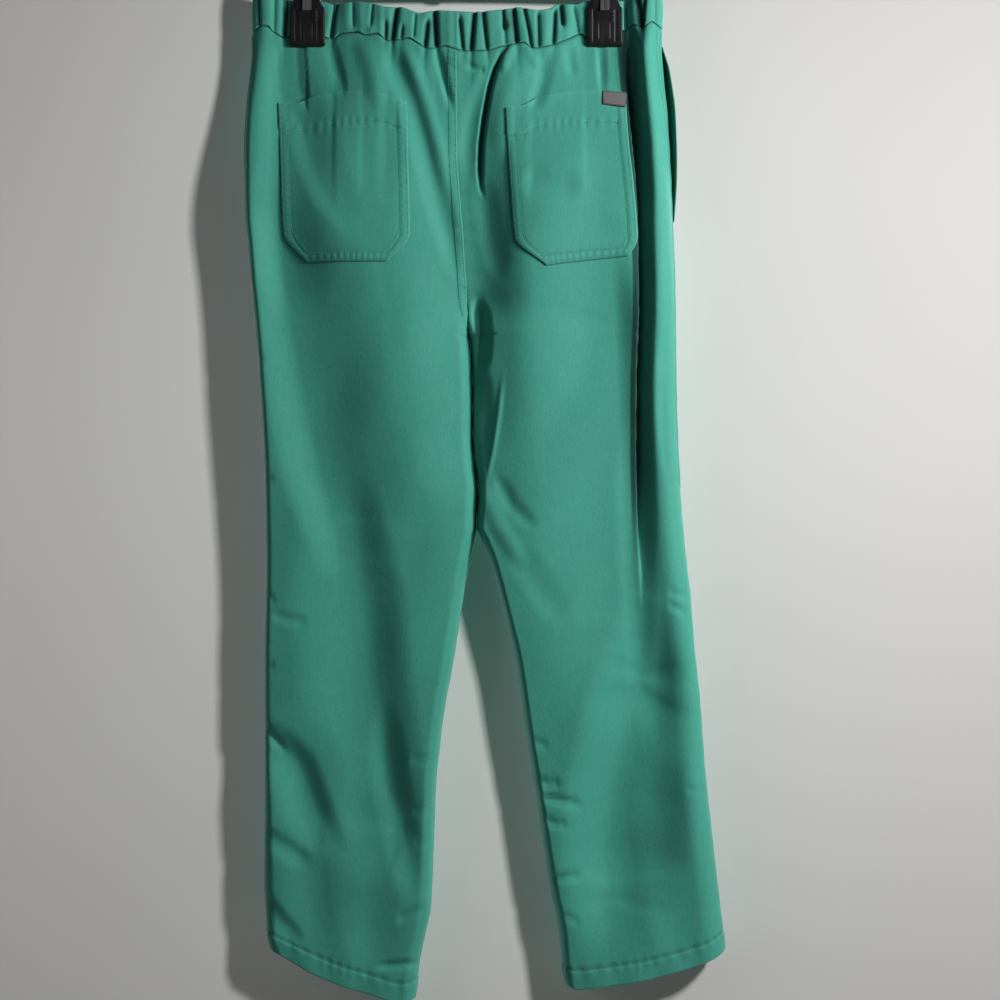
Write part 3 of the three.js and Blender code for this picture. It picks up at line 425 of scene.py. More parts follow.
@dataclass(frozen=True)
class TrouserForm:
    """The outer surface of the hanging trousers, in millimetres, with every drop measured below the hook."""

    waist_drop: float = 188
    crotch_drop: float = 488
    fork_drop: float = 679
    hem_drop: float = 1120
    waist_fade: float = 165
    clip_reach: float = 12
    fold_fade: float = 30
    hem_fade: float = 260
    clipped_depth: float = 3.6
    front_bulge: float = 0.8
    crown: float = 0.1
    least_depth: float = 1.5
    fine_steps: int = 300
    seat_curve: dict[Face, float] = field(default_factory=lambda: {BACK: 50, FRONT: 78})
    waist_seam: SmoothCurve = field(default_factory=lambda: SmoothCurve(WAIST_SEAM))
    waved_seam: SmoothCurve = field(default_factory=lambda: SmoothCurve(SEAM_LINE))
    waist_plan: SmoothCurve = field(default_factory=lambda: SmoothCurve(WAIST_PLAN))
    centre_seam: SmoothCurve = field(default_factory=lambda: SmoothCurve(CENTRE_SEAM))
    inseam_shift: SmoothCurve = field(default_factory=lambda: SmoothCurve(INSEAM_SHIFT))
    side: dict[Half, SmoothCurve] = field(default_factory=lambda: {h: SmoothCurve(SIDE[h]) for h in Half})
    leg: dict[Half, SmoothCurve] = field(default_factory=lambda: {h: SmoothCurve(INNER_LEG[h]) for h in Half})
    hem: dict[Half, SmoothCurve] = field(default_factory=lambda: {h: SmoothCurve(HEM_LINE[h]) for h in Half})
    side_shift: dict[Half, SmoothCurve] = field(
        default_factory=lambda: {h: SmoothCurve(SIDE_SEAM_SHIFT[h]) for h in Half}
    )

    def size(self, half: Half, column: int, drop: Array) -> Array:
        """A column of the half's section sizes at each drop."""
        return SmoothCurve([(row[0], row[column]) for row in SECTIONS[half]])(drop)

    def seam(self, face: Face, x: Array) -> Array:
        """The drop of the casing's seam on a face."""
        return self.waved_seam(x) if face is BACK else self.waist_seam(x)

    def inner(self, half: Half, drop: Array) -> Array:
        """x of a half's inner outline: the centre seam, then the leg."""
        return np.where(drop <= self.fork_drop, self.centre_seam(drop), self.leg[half](drop))

    def depth(self, half: Half, face: Face, x: Array, drop: Array, folded: bool = True) -> Array:
        """y of the cloth's outer surface.

        Args:
            half: The half of the trousers.
            face: The face, back or front.
            x: Places across, in millimetres.
            drop: Drops below the hook, in millimetres.
            folded: Whether the folds and creases are pressed in.

        Returns:
            y at each place, in millimetres.
        """
        x, drop = np.broadcast_arrays(np.asarray(x, float), np.asarray(drop, float))
        outer, inner = self.side[half](drop), self.inner(half, drop)
        across = np.clip((x - outer) / (inner - outer), 0, 1)
        plan = self.waist_plan(x)
        if face is FRONT:
            plan = self.clipped_depth + self.front_bulge * (plan - self.clipped_depth)
        below = drop - self.seam(face, x)
        filled = ease((below - self.clip_reach) / self.waist_fade)
        column = 1 if face is BACK else 2
        body = self.size(half, column, drop) * (1 + self.crown * (1 - (2 * across - 1) ** 2))
        flat = plan + (body - plan) * filled
        if folded:
            pressed = np.zeros(x.shape)
            shared = ease((self.crotch_drop - drop) / 40)
            for fold in MAIN_FOLDS + CREASES:
                if fold.face is face:
                    pressed = pressed + fold.press(x, drop) * (1 if fold.half is half else shared)
            left = flat - (pressed + self.unevenness(x, drop, face)) * ease((below + 6) / self.fold_fade)
            least = np.minimum(self.least_depth, flat)
            flat = 0.5 * (left + least + np.sqrt((left - least) ** 2 + 1.0))
        outer_share = quarter_round(np.abs(x - outer) / self.size(half, 3, drop))
        inner_share = quarter_round(np.abs(x - inner) / self.size(half, 4, drop))
        turning = np.clip(1 - (self.crotch_drop - drop) / self.seat_curve[face], 0, 1)
        turn = 1 - np.sqrt(1 - turning**2)
        y = flat * outer_share * (1 - turn * (1 - inner_share))
        return -y if face is BACK else y

    @staticmethod
    def unevenness(x: Array, drop: Array, face: Face) -> Array:
        """The faint, broad unevenness that hanging cloth has everywhere."""
        turn = 0.0 if face is BACK else 1.7
        wave = 0.45 * np.sin(x / 17.3 + drop / 61 + turn) + 0.35 * np.sin(x / 29.1 - drop / 43 + 2.1 * turn)
        return wave + 0.25 * np.sin(x / 11.9 + drop / 23.7 + 0.6 + turn)

    def level(self, half: Half, face: Face, row: Array, across: Array) -> Array:
        """Drop of a grid level at a share of the way in from the side."""

        def spread(drop: float | Array) -> Array:
            """x at the shares of the way in, at a drop."""
            side = self.side[half](drop)
            return side + (self.inner(half, drop) - side) * across

        smooth = self.waist_seam(spread(self.waist_seam(spread(self.waist_drop))))
        waved = self.seam(face, spread(smooth)) - smooth
        waist = (smooth - self.waist_drop) * (1 - ease((row - self.waist_drop) / self.waist_fade))
        waist = waist + waved * (1 - ease((row - self.waist_drop) / self.fold_fade))
        hem = self.hem[half](spread(self.hem_drop)) - self.hem_drop
        return row + waist + hem * (1 - ease((self.hem_drop - row) / self.hem_fade))

    def face_points(self, half: Half, face: Face, rows: Array, shares: Array, folded: bool) -> Array:
        """Points of one face at levels down and shares in from the side."""
        row, across = rows[:, None], shares[None, :]
        drop = self.level(half, face, row, across)
        outer = self.side[half](drop)
        x = outer + (self.inner(half, drop) - outer) * across
        return np.stack([x, self.depth(half, face, x, drop, folded), -drop], axis=-1)

    def sections(self, half: Half, rows: Array) -> tuple[Array, Array]:
        """The half's sections at some levels.

        Args:
            half: The half of the trousers.
            rows: The levels, as nominal drops.

        Returns:
            The points of each section, from the back's inner edge round the side to the front's inner edge
            and on along the back, and their distances round it, measured without the folds.
        """
        shares = 0.5 + 0.5 * np.cos(np.pi * np.linspace(0, 1, self.fine_steps + 1))
        loops = []
        for folded in (True, False):
            back = self.face_points(half, BACK, rows, shares, folded)
            front = self.face_points(half, FRONT, rows, shares[::-1], folded)
            loops.append(np.concatenate([back, front[:, 1:], back[:, 1 : self.fine_steps // 2]], axis=1))
        steps = np.linalg.norm(np.diff(loops[1], axis=1), axis=-1)
        return loops[0], np.concatenate([np.zeros((len(rows), 1)), np.cumsum(steps, axis=1)], axis=1)

    def on_back(self, half: Half, x: Array, drop: Array) -> tuple[Array, Array]:
        """Points of a back face at (x, drop) places, and the outward normals there."""
        step = 0.8
        y = self.depth(half, BACK, x, drop)
        lean_x = (
            self.depth(half, BACK, x + step, drop) - self.depth(half, BACK, x - step, drop)
        ) / (2 * step)
        lean_drop = (
            self.depth(half, BACK, x, drop + step) - self.depth(half, BACK, x, drop - step)
        ) / (2 * step)
        normals = unit(np.stack([lean_x, -np.ones_like(y), -lean_drop], axis=-1))
        return np.stack([x, y, -np.asarray(drop, float)], axis=-1), normals


@dataclass
class ClothGrid:
    """A grid of surface points with outward normals, and each point's distances from its ends and its level."""

    half: Half
    points: Array
    from_start: Array
    from_end: Array
    rows: Array
    normals: Array = field(init=False)

    def __post_init__(self) -> None:
        """Works out the normals."""
        self.normals = self.outward()

    def outward(self) -> Array:
        """The outward normals of the points as they are."""
        along = np.gradient(self.points, axis=1)
        down = np.gradient(self.points, axis=0)
        return unit(np.cross(along, down) * self.half.outward)

    def raise_by(self, height: Array) -> None:
        """Moves the points out along the normals."""
        self.points = self.points + self.normals * height[..., None]
        self.normals = self.outward()


def mesh_piece(name: str, points: Array, faces: Array, material: bpy.types.Material) -> bpy.types.Object:
    """A smooth shaded mesh object in the frame, from points in millimetres and faces."""
    mesh = bpy.data.meshes.new(name)
    mesh.from_pydata((points.reshape(-1, 3) * MM).tolist(), [], [tuple(f) for f in faces.tolist()])
    mesh.validate()
    mesh.shade_smooth()
    mesh.materials.append(material)
    piece = bpy.data.objects.new(name, mesh)
    bpy.context.scene.collection.objects.link(piece)
    return piece


def grid_faces(rows: int, columns: int, flip: bool = False, closed: bool = False) -> Array:
    """The quads of a grid, with its columns joined round where it is closed."""
    row, column = np.meshgrid(
        np.arange(rows - 1), np.arange(columns if closed else columns - 1), indexing="ij",
    )
    after = (column + 1) % columns
    quads = np.stack(
        [
            row * columns + column, row * columns + after, (row + 1) * columns + after,
            (row + 1) * columns + column,
        ],
        axis=-1,
    ).reshape(-1, 4)
    return quads[:, ::-1] if flip else quads


def set_attribute(piece: bpy.types.Object, name: str, values: Array) -> None:
    """Stores a number at each vertex."""
    attribute = piece.data.attributes.new(name, "FLOAT", "POINT")
    attribute.data.foreach_set("value", np.ascontiguousarray(values, dtype=np.float32).ravel())


def crisp_rim(mesh: bpy.types.Mesh) -> None:
    """Keeps a sheet's shading flat up to its open edges."""
    edges = np.empty(len(mesh.loops), dtype=np.int32)
    mesh.loops.foreach_get("edge_index", edges)
    alone = np.bincount(edges, minlength=len(mesh.edges)) == 1
    sharp = mesh.attributes.new("sharp_edge", "BOOLEAN", "EDGE")
    sharp.data.foreach_set("value", alone)


def solidify(piece: bpy.types.Object, thickness: float) -> None:
    """Gives a sheet its thickness, inward from its face."""
    crisp_rim(piece.data)
    wall = piece.modifiers.new("cloth_thickness", "SOLIDIFY")
    wall.thickness = thickness * MM
    wall.offset = -1.0
    wall.use_even_offset = False


class Nodes:
    """A short way to write a material's node tree."""

    def __init__(self, name: str) -> None:
        """Starts a material with a principled surface."""
        self.material = bpy.data.materials.new(name)
        self.material.use_nodes = True
        self.tree = self.material.node_tree
        self.surface = self.tree.nodes["Principled BSDF"]

    def add(self, kind: str, settings: dict | None = None, **inputs: object) -> bpy.types.Node:
        """Adds a node, with its settings, and with its inputs as values or as other nodes' sockets."""
        node = self.tree.nodes.new(kind)
        for key, value in (settings or {}).items():
            setattr(node, key, value)
        for key, value in inputs.items():
            self.feed(node, key.replace("_", " "), value)
        return node

    def feed(self, node: bpy.types.Node, key: str | int, value: object) -> None:
        """Sets an input, or links it."""
        if isinstance(value, bpy.types.NodeSocket):
            self.tree.links.new(value, node.inputs[key])
        else:
            node.inputs[key].default_value = value

    def place(self) -> bpy.types.NodeSocket:
        """The point's place in the object, in metres."""
        return self.add("ShaderNodeTexCoord").outputs["Object"]

    def noise(
        self, scale: float, detail: float = 2.0, stretch: tuple[float, float, float] = (1, 1, 1)
    ) -> bpy.types.NodeSocket:
        """Noise from 0 to 1, with so many waves in a metre."""
        mapped = self.add("ShaderNodeMapping", Vector=self.place(), Scale=stretch)
        noise = self.add("ShaderNodeTexNoise", Vector=mapped.outputs["Vector"], Scale=scale, Detail=detail)
        return noise.outputs["Fac"]

    def fit(self, value: bpy.types.NodeSocket, low: float, high: float) -> bpy.types.NodeSocket:
        """A value from 0.3 to 0.7 mapped to low to high."""
        ranged = self.add("ShaderNodeMapRange", Value=value)
        for key, number in (("From Min", 0.3), ("From Max", 0.7), ("To Min", low), ("To Max", high)):
            ranged.inputs[key].default_value = number
        return ranged.outputs["Result"]

    def mix(self, share: object, first: object, second: object, blend: str = "MIX") -> bpy.types.NodeSocket:
        """Two colours mixed."""
        node = self.tree.nodes.new("ShaderNodeMix")
        node.data_type = "RGBA"
        node.blend_type = blend
        for i, value in ((0, share), (6, first), (7, second)):
            self.feed(node, i, value)
        return node.outputs[2]

    def attribute(self, name: str) -> bpy.types.NodeSocket:
        """A number stored at the vertices."""
        node = self.tree.nodes.new("ShaderNodeAttribute")
        node.attribute_name = name
        return node.outputs["Fac"]

    def bump(
        self, height: bpy.types.NodeSocket, strength: float, distance: float, under: object = None
    ) -> bpy.types.NodeSocket:
        """A bumped normal.

        Args:
            height: The relief.
            strength: Its share.
            distance: Its full height, in millimetres.
            under: Another normal that it lies over, if any.

        Returns:
            The normal's socket.
        """
        node = self.add("ShaderNodeBump", Strength=strength, Distance=distance * MM, Height=height)
        if under is not None:
            self.feed(node, "Normal", under)
        return node.outputs["Normal"]

    def finish(self, **inputs: object) -> bpy.types.Material:
        """Feeds the surface and gives the material."""
        for key, value in inputs.items():
            self.feed(self.surface, key.replace("_", " "), value)
        return self.material


@dataclass(frozen=True)
class ClothFinish:
    """Smooth, fine twill with a soft sheen, paler where seams and edges are rubbed, and darkened by painted shade
    where a vertex attribute asks for it.
    """

    name: str
    colour: tuple[float, float, float, float]
    worn: tuple[float, float, float, float]
    sheen_tint: tuple[float, float, float, float] = (0.55, 0.95, 0.8, 1)
    roughness: float = 0.72
    twill_mm: float = 0.7

    def material(self) -> bpy.types.Material:
        """Builds the node tree."""
        n = Nodes(self.name)
        broad = n.fit(n.noise(7, 3), 0.0, 1.0)
        dark = tuple(0.9 * c for c in self.colour[:3]) + (1,)
        tone = n.mix(broad, dark, self.colour)
        fibres = n.fit(n.noise(900, 3, (1, 1, 0.4)), 0.0, 0.24)
        tone = n.mix(fibres, tone, self.worn)
        yarns = n.fit(n.noise(330, 4, (1, 1, 0.25)), 0.0, 0.5)
        tone = n.mix(yarns, tone, dark)
        tone = n.mix(n.attribute("wear"), tone, self.worn)
        # Painted shade: the colour sinks to nearly black in fold floors, gathers and under edges, standing in for
        # shadow.
        tone = n.mix(n.attribute("painted_shade"), tone, tuple(0.12 * c for c in self.colour[:3]) + (1,))
        twill = n.add("ShaderNodeTexWave", {"bands_direction": "DIAGONAL"}, Vector=n.place(), Scale=0.628 / (
            self.twill_mm * MM
        ),
                      Distortion=1.2, Detail=1.0)
        creases = n.bump(n.noise(60, 4, (1, 1, 0.6)), 0.3, 1.0)
        fine = n.bump(n.noise(420, 4, (1, 1, 0.5)), 0.55, 0.3, creases)
        weave = n.bump(twill.outputs["Fac"], 0.35, 0.1, fine)
        rough = n.fit(n.noise(40, 3), self.roughness - 0.05, self.roughness + 0.06)
        return n.finish(Base_Color=tone, Roughness=rough, Normal=weave, Sheen_Weight=0.16, Sheen_Roughness=0.5,
                        Sheen_Tint=self.sheen_tint, Specular_IOR_Level=0.3)


@dataclass(frozen=True)
class ThreadFinish:
    """Polyester sewing thread of the cloth's own colour."""

    name: str
    colour: tuple[float, float, float, float]

    def material(self) -> bpy.types.Material:
        """Builds the node tree."""
        n = Nodes(self.name)
        pale = tuple(min(1.0, 1.25 * c) for c in self.colour[:3]) + (1,)
        tone = n.mix(n.fit(n.noise(700, 2), 0, 1), self.colour, pale)
        twist = n.add(
            "ShaderNodeTexWave", {"bands_direction": "DIAGONAL"}, Vector=n.place(), Scale=900,
            Distortion=0.5,
        )
        return n.finish(
            Base_Color=tone, Roughness=0.5, Sheen_Weight=0.2,
            Normal=n.bump(twist.outputs["Fac"], 0.4, 0.08),
        )


@dataclass(frozen=True)
class TapeFinish:
    """Flat woven tape, darker in its border."""

    name: str
    field: tuple[float, float, float, float]
    border: tuple[float, float, float, float]

    def material(self) -> bpy.types.Material:
        """Builds the node tree."""
        n = Nodes(self.name)
        tone = n.mix(n.attribute("border"), self.field, self.border)
        tone = n.mix(n.fit(n.noise(1200, 2), 0, 0.12), tone, (0.4, 0.4, 0.4, 1))
        ribs = n.add(
            "ShaderNodeTexWave", {"bands_direction": "Z"}, Vector=n.place(), Scale=520, Distortion=0.6,
        )
        return n.finish(
            Base_Color=tone, Roughness=0.6, Sheen_Weight=0.15,
            Normal=n.bump(ribs.outputs["Fac"], 0.5, 0.12),
        )


@dataclass(frozen=True)
class PlasticFinish:
    """Black moulded plastic with a gloss, faintly scuffed."""

    name: str
    colour: tuple[float, float, float, float] = (0.008, 0.008, 0.009, 1)

    def material(self) -> bpy.types.Material:
        """Builds the node tree."""
        n = Nodes(self.name)
        scuffs = n.noise(160, 5, (1, 1, 0.4))
        tone = n.mix(n.fit(scuffs, 0, 0.5), self.colour, (0.02, 0.02, 0.022, 1))
        rough = n.fit(scuffs, 0.3, 0.46)
        return n.finish(
            Base_Color=tone, Roughness=rough, Specular_IOR_Level=0.25,
            Normal=n.bump(n.noise(420, 2), 0.06, 0.2),
        )


@dataclass(frozen=True)
class SteelFinish:
    """Bright drawn steel with fine lines along it."""

    name: str
    colour: tuple[float, float, float, float] = (0.6, 0.61, 0.63, 1)

    def material(self) -> bpy.types.Material:
        """Builds the node tree."""
        n = Nodes(self.name)
        lines = n.noise(700, 3, (1, 1, 0.06))
        tone = n.mix(n.fit(lines, 0, 0.4), self.colour, (0.4, 0.4, 0.42, 1))
        return n.finish(
            Base_Color=tone, Metallic=1.0, Roughness=n.fit(lines, 0.2, 0.36),
            Normal=n.bump(lines, 0.15, 0.1),
        )


@dataclass(frozen=True)
class WallFinish:
    """Painted plaster, rolled, so it is faintly uneven. The sheet shows on its front alone."""

    name: str
    colour: tuple[float, float, float, float]

    def material(self) -> bpy.types.Material:
        """Builds the node tree."""
        n = Nodes(self.name)
        pale = tuple(min(1.0, 1.03 * c) for c in self.colour[:3]) + (1,)
        tone = n.mix(n.fit(n.noise(3, 2), 0, 1), self.colour, pale)
        side = n.add("ShaderNodeNewGeometry").outputs["Backfacing"]
        front = n.add("ShaderNodeMath", {"operation": "SUBTRACT"})
        front.inputs[0].default_value = 1
        n.feed(front, 1, side)
        relief = n.bump(n.noise(180, 4), 0.12, 0.6)
        return n.finish(Base_Color=tone, Roughness=0.75, Alpha=front.outputs["Value"], Normal=relief)


@dataclass
class Finishes:
    """The materials that the pieces share."""

    cloth: bpy.types.Material
    casing: bpy.types.Material
    # A darker copy of the cloth: painted shade for the shadowed mouth of the right side pocket
    facing: bpy.types.Material
    thread: bpy.types.Material
    tape: bpy.types.Material
    plastic: bpy.types.Material
    steel: bpy.types.Material
    wall: bpy.types.Material

    @classmethod
    def build(cls) -> "Finishes":
        """Builds every material once."""
        green, worn = (0.042, 0.322, 0.247, 1), (0.13, 0.45, 0.36, 1)
        return cls(
            cloth=ClothFinish("scrub_cloth", green, worn).material(),
            casing=ClothFinish("casing_cloth", (0.046, 0.328, 0.26, 1), worn).material(),
            # Painted shade: the same cloth at about half its brightness, for the shadowed right mouth
            facing=ClothFinish("painted_shade_facing_cloth", (0.015, 0.17, 0.125, 1), (0.05, 0.28, 0.2, 1)).material(),
            thread=ThreadFinish("sewing_thread", (0.035, 0.32, 0.24, 1)).material(),
            tape=TapeFinish("label_tape", (0.13, 0.12, 0.127, 1), (0.035, 0.033, 0.036, 1)).material(),
            plastic=PlasticFinish("clip_plastic").material(),
            steel=SteelFinish("hanger_steel").material(),
            wall=WallFinish("painted_wall", (0.69, 0.685, 0.67, 1)).material(),
        )


@dataclass(frozen=True)
class StitchRow:
    """A row of short stitches along a path of points, with the surface's normals there."""

    points: Array
    normals: Array
    pitch: float = 3.0
    length: float = 2.3
    radius: float = 0.34
    lift: float = 0.3

    def beads(self) -> tuple[Array, Array]:
        """The stitches' points and faces, as slim beads sunk at both ends."""
        steps = np.linalg.norm(np.diff(self.points, axis=0), axis=1)
        along = np.concatenate([[0], np.cumsum(steps)])
        count = max(1, int(along[-1] / self.pitch))
        middles = (np.arange(count) + 0.5) * along[-1] / count

        def at(places: Array, values: Array) -> Array:
            """The path's values at distances along it."""
            return np.stack([np.interp(places, along, values[:, axis]) for axis in range(3)], axis=-1)

        start = at(middles - self.length / 2, self.points)
        end = at(middles + self.length / 2, self.points)
        normal = unit(at(middles, self.normals))
        run = end - start
        across = unit(np.cross(run, normal))
        rings = []
        for share, width, height in (
            (0, 0, -0.15), (0.2, 0.8, 0.75), (0.5, 1, 1), (0.8, 0.8, 0.75), (1, 0, -0.15),
        ):
            centre = start + run * share + normal * (self.lift * height)
            if width == 0:
                rings.append(centre[:, None, :])
                continue
            corners = [
                centre + across * (
                    self.radius * width * math.cos(angle)
                ) + normal * (self.radius * width * math.sin(angle))
                for angle in (math.radians(a) for a in (45, 135, 225, 315))
            ]
            rings.append(np.stack(corners, axis=1))
        points = np.concatenate(rings, axis=1)
        return points.reshape(-1, 3), self.bead_faces(count, points.shape[1])

    @staticmethod
    def bead_faces(count: int, size: int) -> Array:
        """The triangles of so many beads of 14 points each."""
        faces = []
        for k in range(4):
            after = (k + 1) % 4
            faces.append((0, 1 + k, 1 + after))
            for ring in (1, 5):
                faces.append((ring + k, ring + 4 + k, ring + 4 + after))
                faces.append((ring + k, ring + 4 + after, ring + after))
            faces.append((9 + k, size - 1, 9 + after))
        offsets = np.arange(count)[:, None, None] * size
        return (np.array(faces)[None] + offsets).reshape(-1, 3)


@dataclass
class Sewing:
    """Collects rows of stitches and makes one mesh of them."""

    name: str
    rows: list[StitchRow] = field(default_factory=list)

    def add(self, points: Array, normals: Array, **sizes: float) -> None:
        """Adds a row along a path."""
        self.rows.append(StitchRow(points, normals, **sizes))

    def build(self, material: bpy.types.Material) -> bpy.types.Object:
        """Makes the mesh and lets it ride with the cloth."""
        points, faces, total = [], [], 0
        for row in self.rows:
            row_points, row_faces = row.beads()
            points.append(row_points)
            faces.append(row_faces + total)
            total += len(row_points)
        piece = mesh_piece(self.name, np.concatenate(points), np.concatenate(faces), material)
        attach(piece, "root")
        LOG.info("%s: %d rows, %d triangles", self.name, len(self.rows), len(np.concatenate(faces)))
        return piece


@dataclass
class TrouserPanels:
    """The four panels, with their seams, puckers, felled centre seam and turned hems."""

    form: TrouserForm
    finishes: Finishes
    sewing: Sewing
    fineness: dict[Face, float] = field(default_factory=lambda: {BACK: 1.0, FRONT: 1.5})
    columns: dict[Face, int] = field(default_factory=lambda: {BACK: 134, FRONT: 100})
    cloth: float = 0.55
    seam_dip: float = 0.14
    inseam_dip: float = 1.1
    seam_width: float = 1.0
    fell_width: float = 9.0
    fell_height: float = 0.6
    hem_depth: float = 19.0
    hem_height: float = 0.6
    tuck: float = 3.6
    puff: float = 2.2
    crease_centres: Sequence[tuple[float, float]] = ((0.15, 0.07), (0.73, 0.06))

    def shares(self, half: Half, face: Face) -> Array:
        """The columns' shares of the way round a panel, closer together at the right seat's sharp creases."""
        even = np.linspace(0, 1, self.columns[face] + 1)
        if half is L or face is FRONT:
            return even
        fine = np.linspace(0, 1, 1001)
        density = 0.7 + sum(
            1.3 * np.exp(-(((fine - middle) / width) ** 2)) for middle, width in self.crease_centres
        )
        reached = np.concatenate([[0], np.cumsum(0.5 * (density[1:] + density[:-1]))])
        return np.interp(even, reached / reached[-1], fine)

    def rows(self, face: Face) -> Array:
        """The levels of the grids, closer together from the waist to the crotch and at the hem."""
        form = self.form
        stretches = (
            (form.waist_drop, 200, 1.2), (200, 490, 2.0), (490, 1060, 4.1), (1060, form.hem_drop, 1.7),
        )
        rows = []
        for start, end, step in stretches:
            count = round((end - start) / (step * self.fineness[face]))
            rows.append(np.linspace(start, end, count, endpoint=False))
        return np.concatenate([*rows, [form.hem_drop]])

    def grid(self, half: Half, face: Face) -> ClothGrid:
        """One panel's grid, from the centre seam to the side on the back and back in on the front."""
        form, rows = self.form, self.rows(face)
        loops, lengths = form.sections(half, rows)
        legs = rows >= form.crotch_drop
        side = lengths[:, form.fine_steps] - form.side_shift[half](rows)
        inseam = np.where(legs, form.inseam_shift(rows), 0.0)
        if face is BACK:
            start, end = inseam, side
        else:
            start, end = side, lengths[:, 2 * form.fine_steps] + inseam
        places = start[:, None] + (end - start)[:, None] * self.shares(half, face)[None]
        points = np.empty((*places.shape, 3))
        for i, place in enumerate(places):
            last = None if legs[i] else 2 * form.fine_steps + 1
            for axis in range(3):
                points[i, :, axis] = np.interp(place, lengths[i, :last], loops[i, :last, axis])
        for fold in MAIN_FOLDS:
            if fold.tucked and fold.half is half and fold.face is face:
                pressed = fold.press(points[..., 0], -points[..., 2]) / fold.depth
                points[..., 0] -= fold.tucked * ease(pressed / 0.7) * ease((-points[..., 2] - 200) / 60)
        return ClothGrid(half, points, places - start[:, None], end[:, None] - places, rows)

    def relief(self, grid: ClothGrid, face: Face) -> Array:
        """How far the sewing raises or sinks the panel's surface."""
        form, row = self.form, grid.rows[:, None]
        inner, side = (grid.from_start, grid.from_end) if face is BACK else (grid.from_end, grid.from_start)
        torso = ease((form.crotch_drop + 6 - row) / 12)
        dip = self.seam_dip * torso + self.inseam_dip * (1 - torso)
        height = -dip * np.exp(-((inner / self.seam_width) ** 2))
        height -= self.seam_dip * np.exp(-((side / self.seam_width) ** 2))
        ladder = np.sin(row * 1.02 + 1.3 * np.sin(row / 13)) + 0.5 * np.sin(row / 2.3 + 1.1)
        if grid.half is L and face is BACK:
            step = ease(inner / 1.2) * ease((self.fell_width - inner) / 1.4)
            height += self.fell_height * step * torso
            height += 0.28 * ladder * np.exp(-(((inner - 4.5) / 4) ** 2)) * torso
        pucker = np.sin(row / 3.1 + 0.8 * np.sin(row / 19)) + 0.6 * np.sin(row / 5.3 + 1.1)
        height += 0.16 * pucker * np.exp(-((inner / 11) ** 2)) * torso
        height += 0.2 * np.sin(
            row / 4.7 + 1.4 * np.sin(row / 31)
        ) * np.exp(-((inner / 10) ** 2)) * (1 - torso)
        height += 0.16 * np.sin(row / 5.1 + 1.2 * np.sin(row / 27)) * np.exp(-((side / 9) ** 2))
        if grid.half is R and face is BACK:
            height += 0.16 * ladder * np.exp(-(((side - 4) / 3) ** 2)) * ease((640 - row) / 20)
        return height + self.waist_relief(grid, face) + self.hem_relief(grid)

    def waist_relief(self, grid: ClothGrid, face: Face) -> Array:
        """The cloth under the casing: tucked in at the seam, puffed out below it and creased by the gathers."""
        x = grid.points[..., 0]
        below = np.maximum(-grid.points[..., 2] - self.form.seam(face, x), 0)
        free = ease((np.abs(x - CLIP_CENTRES[grid.half]) - 19) / 9)
        creased = np.zeros(x.shape)
        for top, seam, depth, start, _ in GATHERS[grid.half, face]:
            if start > 0:
                continue
            middle = seam + (seam - top) / 37 * below * np.exp(-below / 30)
            width = 2.0 + below / 9
            reach = 7 + 5 * depth
            creased += 0.8 * depth * np.exp(-((np.abs(x - middle) / width) ** 1.4)) * np.exp(-below / reach)
        puff = self.puff * (1 - np.exp(-below / 3)) * np.exp(-below / 26)
        return (puff - creased) * free - self.tuck * np.exp(-below / 1.5)

    def hem_relief(self, grid: ClothGrid) -> Array:
        """The hem's double layer, with its puckered line of stitches."""
        up = self.form.hem_drop - grid.rows[:, None]
        line = np.exp(-(((up - self.hem_depth) / 1.6) ** 2))
        wave = np.sin(grid.from_start / 1.9 + 2.1 * np.sin(grid.from_start / 14))
        wave = wave * np.exp(-(((up - self.hem_depth) / 6) ** 2)) + 0.7 * np.sin(grid.from_start / 6.3 + 1)
        ripple = 0.75 * wave * ease((34 - up) / 30)
        return self.hem_height * ease((self.hem_depth - up) / 2.5) - 0.9 * line + ripple

    def wear(self, grid: ClothGrid) -> Array:
        """How rubbed the cloth is: along its hem and seams."""
        up = self.form.hem_drop - grid.rows[:, None]
        seams = np.exp(-(((grid.from_start - 3) / 3) ** 2)) + np.exp(-(((grid.from_end - 3) / 3) ** 2))
        return 0.12 * seams + 0.25 * np.exp(-np.maximum(up, 0) / 1.6)

    def painted_shade(self, grid: ClothGrid, face: Face) -> Array:
        """Painted shade: how far the cloth's colour is darkened, as if in shadow, on sharp folds' floors, at the
        casing and under the hem's stitches.
        """
        x, drop = grid.points[..., 0], -grid.points[..., 2]
        below = np.maximum(drop - self.form.seam(face, x), 0)
        up = self.form.hem_drop - grid.rows[:, None]
        dark = 0.85 * np.exp(-((below / 2.4) ** 2)) + 0.35 * np.exp(-(((up - self.hem_depth) / 0.9) ** 2))
        for fold in MAIN_FOLDS:
            if fold.painted_floor_shade and fold.half is grid.half and fold.face is face:
                floor = fold.press(x + fold.tucked, drop) / fold.depth
                dark = dark + fold.painted_floor_shade * ease(floor / 0.55) * ease((below + 4) / 10)
        return np.clip(dark, 0, 1)

